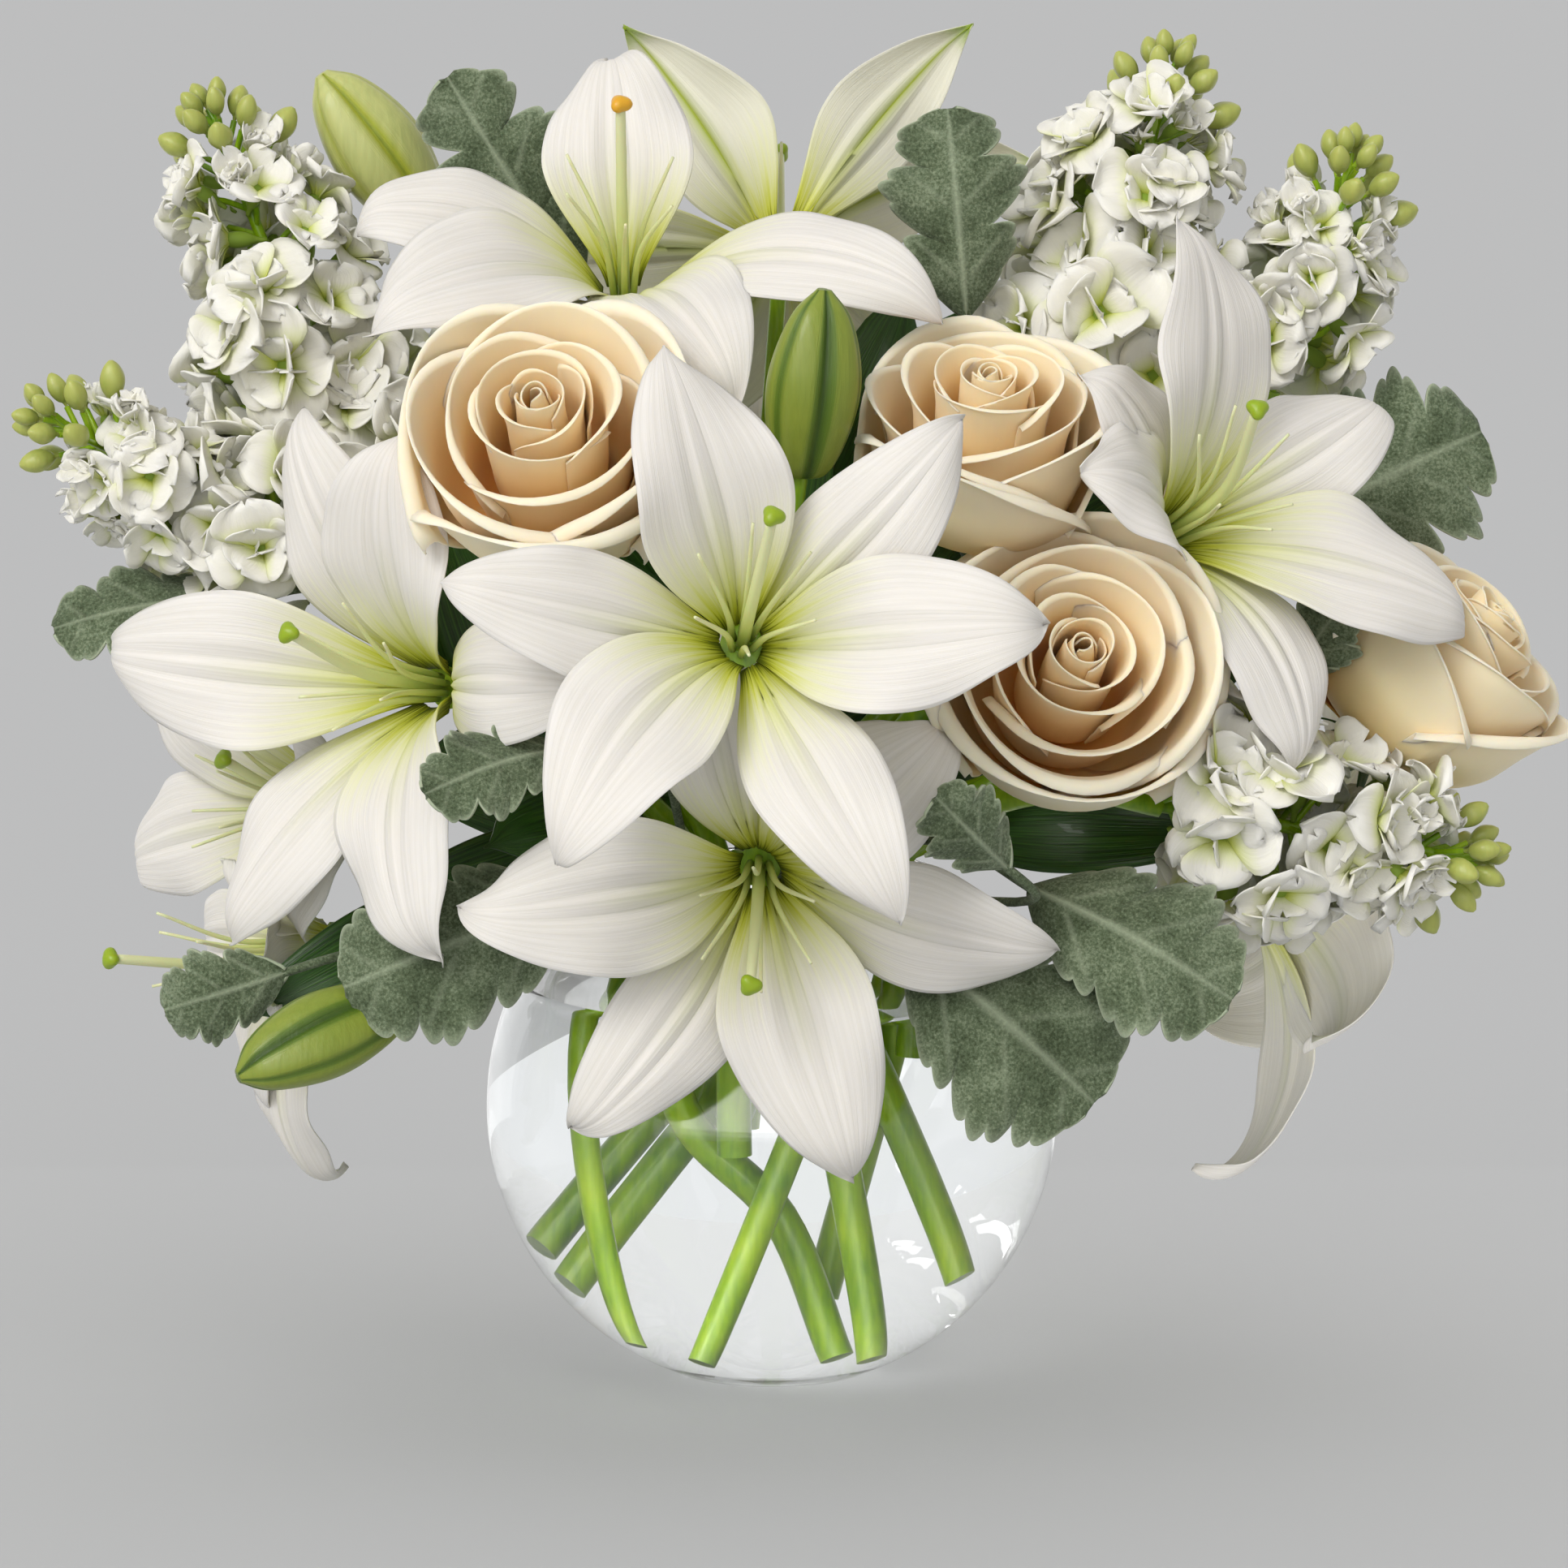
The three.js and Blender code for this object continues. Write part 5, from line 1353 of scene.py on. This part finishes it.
def lily_bud(skin, bud):
    """A closed lily bud: three tepals that meet at grooved seams."""
    low, axis, length, side, other = axis_frame(bud["low"], bud["high"], (-0.2, -1, 0))
    line = smooth_profile(np.array(BUD_PROFILE) * (bud["radius"], length), 7)
    turn = np.linspace(0, 2 * math.pi, 72, endpoint=False)
    seam = np.abs(((turn * 3 / (2 * math.pi)) + 0.5) % 1 - 0.5) * 2
    ribs = 0.06 * np.cos(3 * turn + math.pi) - 0.13 * bump(seam, 0, 0.12) - 0.05 * bump(seam, 1, 0.1)
    s = line[:, 1:] / length
    radius = line[:, :1] * (1 + ribs * (0.6 + 0.9 * s))
    rings = (
        low + line[:, 1:, None] * axis + (radius * np.cos(turn))[..., None] * side
        + (radius * np.sin(turn))[..., None] * other
    )
    values = np.zeros(rings.shape)
    # The first value is low in the seams, which the bud material paints dark as shade, and high on the
    # tepals' backs, which it paints pale as a highlight.
    values[..., 0] = 1 - bump(seam, 0, 0.16) * 0.9 - 0.4 * bump(seam, 1, 0.08)
    values[..., 1] = s
    values[..., 2] = bud["ripe"]
    skin.turned(rings, values)


# ---------------------------------------------------------------- the stage
FLOOR_REACH = 30
WARM_WHITE = "#fffdfb"
SKY_STRENGTH = 0.5
CARD_SIZE, CARD_PLACE, CARD_STRENGTH = (0.8, 0.6), (0, 0.24, 0.3), 0.68
# The camera stands far off and a little above the bowl, and sees so much to each side of its target.
CAMERA_DISTANCE, CAMERA_ELEVATION, CAMERA_TARGET, HALF_VIEW = 1.7, math.radians(9), (0.0032, 0, 0.155), 0.2048


# ---------------------------------------------------------------- operators
class BOUQUET_OT_stage(bpy.types.Operator):
    """Adds the floor, the soft lights and the camera."""

    bl_idname = "bouquet.stage"
    bl_label = "Stage"

    def execute(self, context):
        context.scene.view_settings.view_transform = "Standard"
        floor = bpy.data.meshes.new("floor")
        corners = [(x * FLOOR_REACH, y * FLOOR_REACH, 0) for x, y in ((-1, -1), (1, -1), (1, 1), (-1, 1))]
        floor.from_pydata(corners, [], [(0, 1, 2, 3)])
        floor.materials.append(finish_of(context, "floor"))
        ground = linked("floor", floor)
        world = bpy.data.worlds.new("soft studio")
        world.use_nodes = True
        fill(world.node_tree.nodes["Background"], {"Color": linear(WARM_WHITE), "Strength": SKY_STRENGTH})
        context.scene.world = world
        # The key and the front light pass through the glass and the water, and leave the floor to its
        # own even light. The bounce lifts the shaded bloom low on the right. Each has its direction,
        # its spread, its strength, what it lights and what lets it through.
        clear = light_group("clear to light", ["glass_bowl", "clear_water"], "EXCLUDE")
        clear_below = light_group("clear from below", ["glass_bowl", "clear_water", "floor"], "EXCLUDE")
        shaded = light_group("shaded bloom", ["rightLow_lily_tepals"], "INCLUDE")
        bouquet = light_group("all but the floor", ["floor"], "EXCLUDE")
        ground_only = light_group("the floor", ["floor"], "INCLUDE")
        suns = [
            ("key", (-0.7, -1.0, 0.95), 30, 1.7, bouquet, clear),
            ("front", (-0.12, -1.0, 0.05), 60, 1.1, bouquet, clear),
            ("bounce", (-0.5, -1.0, -0.5), 60, 1.4, shaded, clear_below),
            ("floor_light", (0, 0, 1), 60, 1.27, ground_only, None),
        ]
        for name, way, spread, strength, lit, passing in suns:
            light = bpy.data.lights.new(name, "SUN")
            light.angle = math.radians(spread)
            light.energy = strength
            light.color = linear(WARM_WHITE)
            light.use_shadow = passing is not None
            lamp = linked(name, light)
            lamp.rotation_euler = (-Vector(way)).to_track_quat("-Z", "Y").to_euler()
            lamp.light_linking.receiver_collection = lit
            if passing:
                lamp.light_linking.blocker_collection = passing
        # A white card behind the bowl, which only the glass and the water show.
        panel = bpy.data.lights.new("card", "AREA")
        panel.shape = "RECTANGLE"
        panel.size, panel.size_y = CARD_SIZE
        panel.energy = CARD_STRENGTH
        card = linked("card", panel)
        card.location = CARD_PLACE
        card.rotation_euler = (math.radians(-90), 0, 0)
        card.visible_camera = card.visible_diffuse = False
        camera = bpy.data.cameras.new("camera")
        camera.angle = 2 * math.atan(HALF_VIEW / CAMERA_DISTANCE)
        camera.clip_end = 100
        back = Vector((0, -math.cos(CAMERA_ELEVATION), math.sin(CAMERA_ELEVATION)))
        eye = linked("camera", camera)
        eye.location = Vector(CAMERA_TARGET) + CAMERA_DISTANCE * back
        eye.rotation_euler = (-back).to_track_quat("-Z", "Y").to_euler()
        context.scene.camera = eye
        return {"FINISHED"}


class BOUQUET_OT_bowl(bpy.types.Operator):
    """Blows the glass bowl and fills it with water."""

    bl_idname = "bouquet.bowl"
    bl_label = "Bowl and water"

    def execute(self, context):
        wall = context.scene.bouquet_sizes.glass_wall / MM
        glass = turned_piece("glass_bowl", bowl_profile(wall), finish_of(context, "glass"))
        finished(glass, "glass", "bowl")
        water = turned_piece("clear_water", water_profile(wall), finish_of(context, "water"))
        finished(water, "water", "water")
        return {"FINISHED"}


class BOUQUET_OT_lilies(bpy.types.Operator):
    """Opens the lilies: six tepals round a style and its filaments."""

    bl_idname = "bouquet.lilies"
    bl_label = "Lilies"

    def execute(self, context):
        sizes = context.scene.bouquet_sizes
        for n, (name, bloom) in enumerate(LILIES.items()):
            rng = np.random.default_rng(LILY_SEED + n)
            skin = Skin()
            for i, spec in enumerate(bloom["tepals"]):
                tepal(skin, bloom, (INNER, OUTER)[i % 2], spec, sizes, rng)
            petals = skin.object(f"{name}_lily_tepals", finish_of(context, "lily"))
            finished(petals, "lily_petal", f"lily_{name}")
            heart = lily_heart(bloom, sizes, rng, name == "upper")
            finished(heart.object(f"{name}_lily_heart", finish_of(context, "heart")), "stem")
        return {"FINISHED"}


class BOUQUET_OT_lily_stems(bpy.types.Operator):
    """Grows the lily stems with their forks, buds and narrow leaves."""

    bl_idname = "bouquet.lily_stems"
    bl_label = "Lily stems"

    def execute(self, context):
        for n, (name, stem) in enumerate(LILY_STEMS.items()):
            rng = np.random.default_rng(LILY_LEAF_SEED + n)
            mouth = stem["bowl"][-1]
            trunk = smooth_path([*stem["bowl"], above_rim(mouth), stem["fork"]])
            start = between(stem["fork"], mouth, 0.08)
            paths = [(trunk, THICK["lily"])]
            for bloom in (LILIES[each] for each in stem["blooms"]):
                stalk = smooth_path([start, *(along_axis(bloom, d) for d in (-30, -14, -3))], 10)
                swell = step(0.75, 1, np.linspace(0, 1, len(stalk)))
                paths.append((stalk, mix(THICK["bloom"], THICK["bloom_top"], swell)))
            for bud in stem["buds"]:
                reach = [between(bud["low"], bud["high"], share) for share in (-0.4, 0.1)]
                paths.append((smooth_path([start, *reach], 10), THICK["bloom"]))
            piece = stems(f"{name}_lily_stem", paths, finish_of(context, "stem"), 16)
            finished(piece, "stem", f"lily_stem_{name}")
            if stem["buds"]:
                skin = Skin()
                for bud in stem["buds"]:
                    lily_bud(skin, bud)
                finished(skin.object(f"{name}_lily_bud", finish_of(context, "bud")), "stem")
            if stem["leaves"]:
                skin = Skin()
                for leaf in stem["leaves"]:
                    lance_leaf(skin, leaf, rng)
                finished(skin.object(f"{name}_lily_leaves", finish_of(context, "leaf")), "stem")
        return {"FINISHED"}


class BOUQUET_OT_roses(bpy.types.Operator):
    """Opens the roses on their stems, with hips and sepals."""

    bl_idname = "bouquet.roses"
    bl_label = "Roses"

    def execute(self, context):
        sizes = context.scene.bouquet_sizes
        for n, (name, rose) in enumerate(ROSES.items()):
            rng = np.random.default_rng(ROSE_SEED + n)
            skin = Skin()
            for k in range(sizes.rose_petals):
                rose_petal(skin, rose, k, sizes.rose_petals, sizes, rng)
            petals = skin.object(f"{name}_rose_petals", finish_of(context, "rose"))
            finished(petals, "rose_petal", f"rose_{name}")
            bowl = ROSE_STEMS[name]
            neck = [along_axis(rose, d) for d in (-36, -16, -6)]
            run = smooth_path([*bowl, above_rim(bowl[-1]), *neck])
            piece = stems(f"{name}_rose_stem", [(run, THICK["rose"])], finish_of(context, "stem"), 16)
            finished(piece, "stem", f"rose_stem_{name}")
            finished(rose_calyx(rose).object(f"{name}_rose_calyx", finish_of(context, "leaf")), "stem")
        return {"FINISHED"}


class BOUQUET_OT_stock(bpy.types.Operator):
    """Crowds double florets round the stock spikes, with green buds at the tips."""

    bl_idname = "bouquet.stock"
    bl_label = "Stock"

    def execute(self, context):
        sizes = context.scene.bouquet_sizes
        white, green = finish_of(context, "stock"), finish_of(context, "bud")
        florets = hidden_collection("florets", lambda name, seed: floret(name, seed, sizes, white), (3, 4, 5))
        buds = hidden_collection("stock_buds", lambda name, seed: stock_bud(name, seed, green), (1, 2, 3))
        opening = hidden_collection(
            "opening_florets", lambda name, seed: floret(name, seed, sizes, white, HALF_OPEN), (6, 7, 8)
        )
        for n, (name, stock) in enumerate(STOCKS.items()):
            places, ways, scales = head_places(stock)
            head = blooms(f"{name}_stock_florets", places, ways, scales, florets, FLORET_SEED + n, white)
            finished(head, "stock_petal", f"stock_{name}")
            low, axis, _, side, other = axis_frame(stock["low"], stock["high"], (0, 1, 0))
            high = np.array(stock["high"], float)
            bowl = STOCK_STEMS[name]
            run = smooth_path([*bowl, above_rim(bowl[-1]), low - 30 * axis, low - 6 * axis])
            spike = np.linspace(low - 8 * axis, high + 14 * axis, 10)
            taper = np.linspace(THICK["spike"], THICK["spike_top"], len(spike))
            paths = [(run, THICK["stock"]), (spike, taper)]
            for place, way in zip(places, ways):
                root = low + axis * (np.dot(place - low, axis) - 8)
                stalk = smooth_path([root, between(root, place, 0.6), place - 3 * way], 4)
                paths.append((stalk, THICK["floret"]))
            # The buds stand on stalks round the tip, the last ones short and upright.
            spots, directions, scales = [], [], []
            for i in range(stock["buds"]):
                share = i / (stock["buds"] - 1)
                radial = round_axis(GOLDEN_ANGLE * i, side, other)
                way = unit(radial * mix(1.0, 0.35, share) + axis * mix(0.75, 1, share))
                root = high + axis * mix(-6, 13, share)
                spots.append(root + way * mix(16, 6, share))
                directions.append(way)
                scales.append(mix(1.2, 0.8, share))
                paths.append((np.array([root, root + way * mix(14, 4, share)]), THICK["floret"]))
            piece = stems(f"{name}_stock_stem", paths, finish_of(context, "stem"), 10)
            finished(piece, "stem", f"stock_stem_{name}")
            tip = blooms(f"{name}_stock_buds", spots, directions, scales, buds, BUD_SEED + n, green)
            finished(tip, "stem")
            # Half open florets between the buds and the open ones.
            spots, directions = [], []
            for i in range(OPENING_FLORETS):
                share = i / (OPENING_FLORETS - 1)
                radial = round_axis(GOLDEN_ANGLE * i + n, side, other)
                spots.append(high + axis * mix(-9, 1, share) + radial * mix(11, 6, share))
                directions.append(unit(radial + 0.8 * axis))
            half_open = blooms(
                f"{name}_stock_opening", spots, directions, [OPENING_SCALE] * OPENING_FLORETS, opening,
                OPENING_SEED + n, white,
            )
            finished(half_open, "stock_petal")
        return {"FINISHED"}


class BOUQUET_OT_foliage(bpy.types.Operator):
    """Spreads the felted dusty miller leaves on their sprigs."""

    bl_idname = "bouquet.foliage"
    bl_label = "Dusty miller"

    def execute(self, context):
        sizes = context.scene.bouquet_sizes
        felt = finish_of(context, "felt")
        for n, (name, sprig) in enumerate(DUSTY_SPRIGS.items()):
            rng = np.random.default_rng(DUSTY_SEED + n)
            skin = Skin()
            top = above_rim(sprig["bowl"][-1])
            start = between(top, sprig["bowl"][-1], 0.15)
            paths = [(smooth_path([*sprig["bowl"], top]), THICK["sprig"])]
            for leaf in sprig["leaves"]:
                lobed_leaf(skin, leaf, sizes, rng)
                reach = [between(leaf["base"], leaf["tip"], share) for share in (-0.4, 0.05)]
                paths.append((smooth_path([start, *reach], 10), THICK["leaf"]))
            finished(skin.object(f"{name}_dusty_leaves", felt), "foliage", f"dusty_sprig_{name}")
            finished(stems(f"{name}_dusty_stalks", paths, felt, 10), "foliage")
        return {"FINISHED"}


class BOUQUET_PT_panel(bpy.types.Panel):
    """Lists the sizes, the colours and a button for each group of pieces."""

    bl_idname = "BOUQUET_PT_panel"
    bl_label = "Lilies in a vase"
    bl_space_type = "VIEW_3D"
    bl_region_type = "UI"
    bl_category = "Bouquet"

    def draw(self, context):
        for group in (context.scene.bouquet_sizes, context.scene.bouquet_colours):
            box = self.layout.box()
            for name in type(group).__annotations__:
                box.prop(group, name)
        for operator in OPERATORS:
            self.layout.operator(operator.bl_idname)


OPERATORS = (
    BOUQUET_OT_bowl, BOUQUET_OT_lily_stems, BOUQUET_OT_lilies, BOUQUET_OT_roses, BOUQUET_OT_stock,
    BOUQUET_OT_foliage, BOUQUET_OT_stage,
)
CLASSES = (BouquetSizes, BouquetColours, *OPERATORS, BOUQUET_PT_panel)


def register():
    for one in CLASSES:
        bpy.utils.register_class(one)
    bpy.types.Scene.bouquet_sizes = bpy.props.PointerProperty(type=BouquetSizes)
    bpy.types.Scene.bouquet_colours = bpy.props.PointerProperty(type=BouquetColours)


def unregister():
    del bpy.types.Scene.bouquet_colours
    del bpy.types.Scene.bouquet_sizes
    for one in reversed(CLASSES):
        bpy.utils.unregister_class(one)


def main():
    register()
    for operator in OPERATORS:
        group, action = operator.bl_idname.split(".")
        getattr(getattr(bpy.ops, group), action)()


if __name__ == "__main__":
    main()
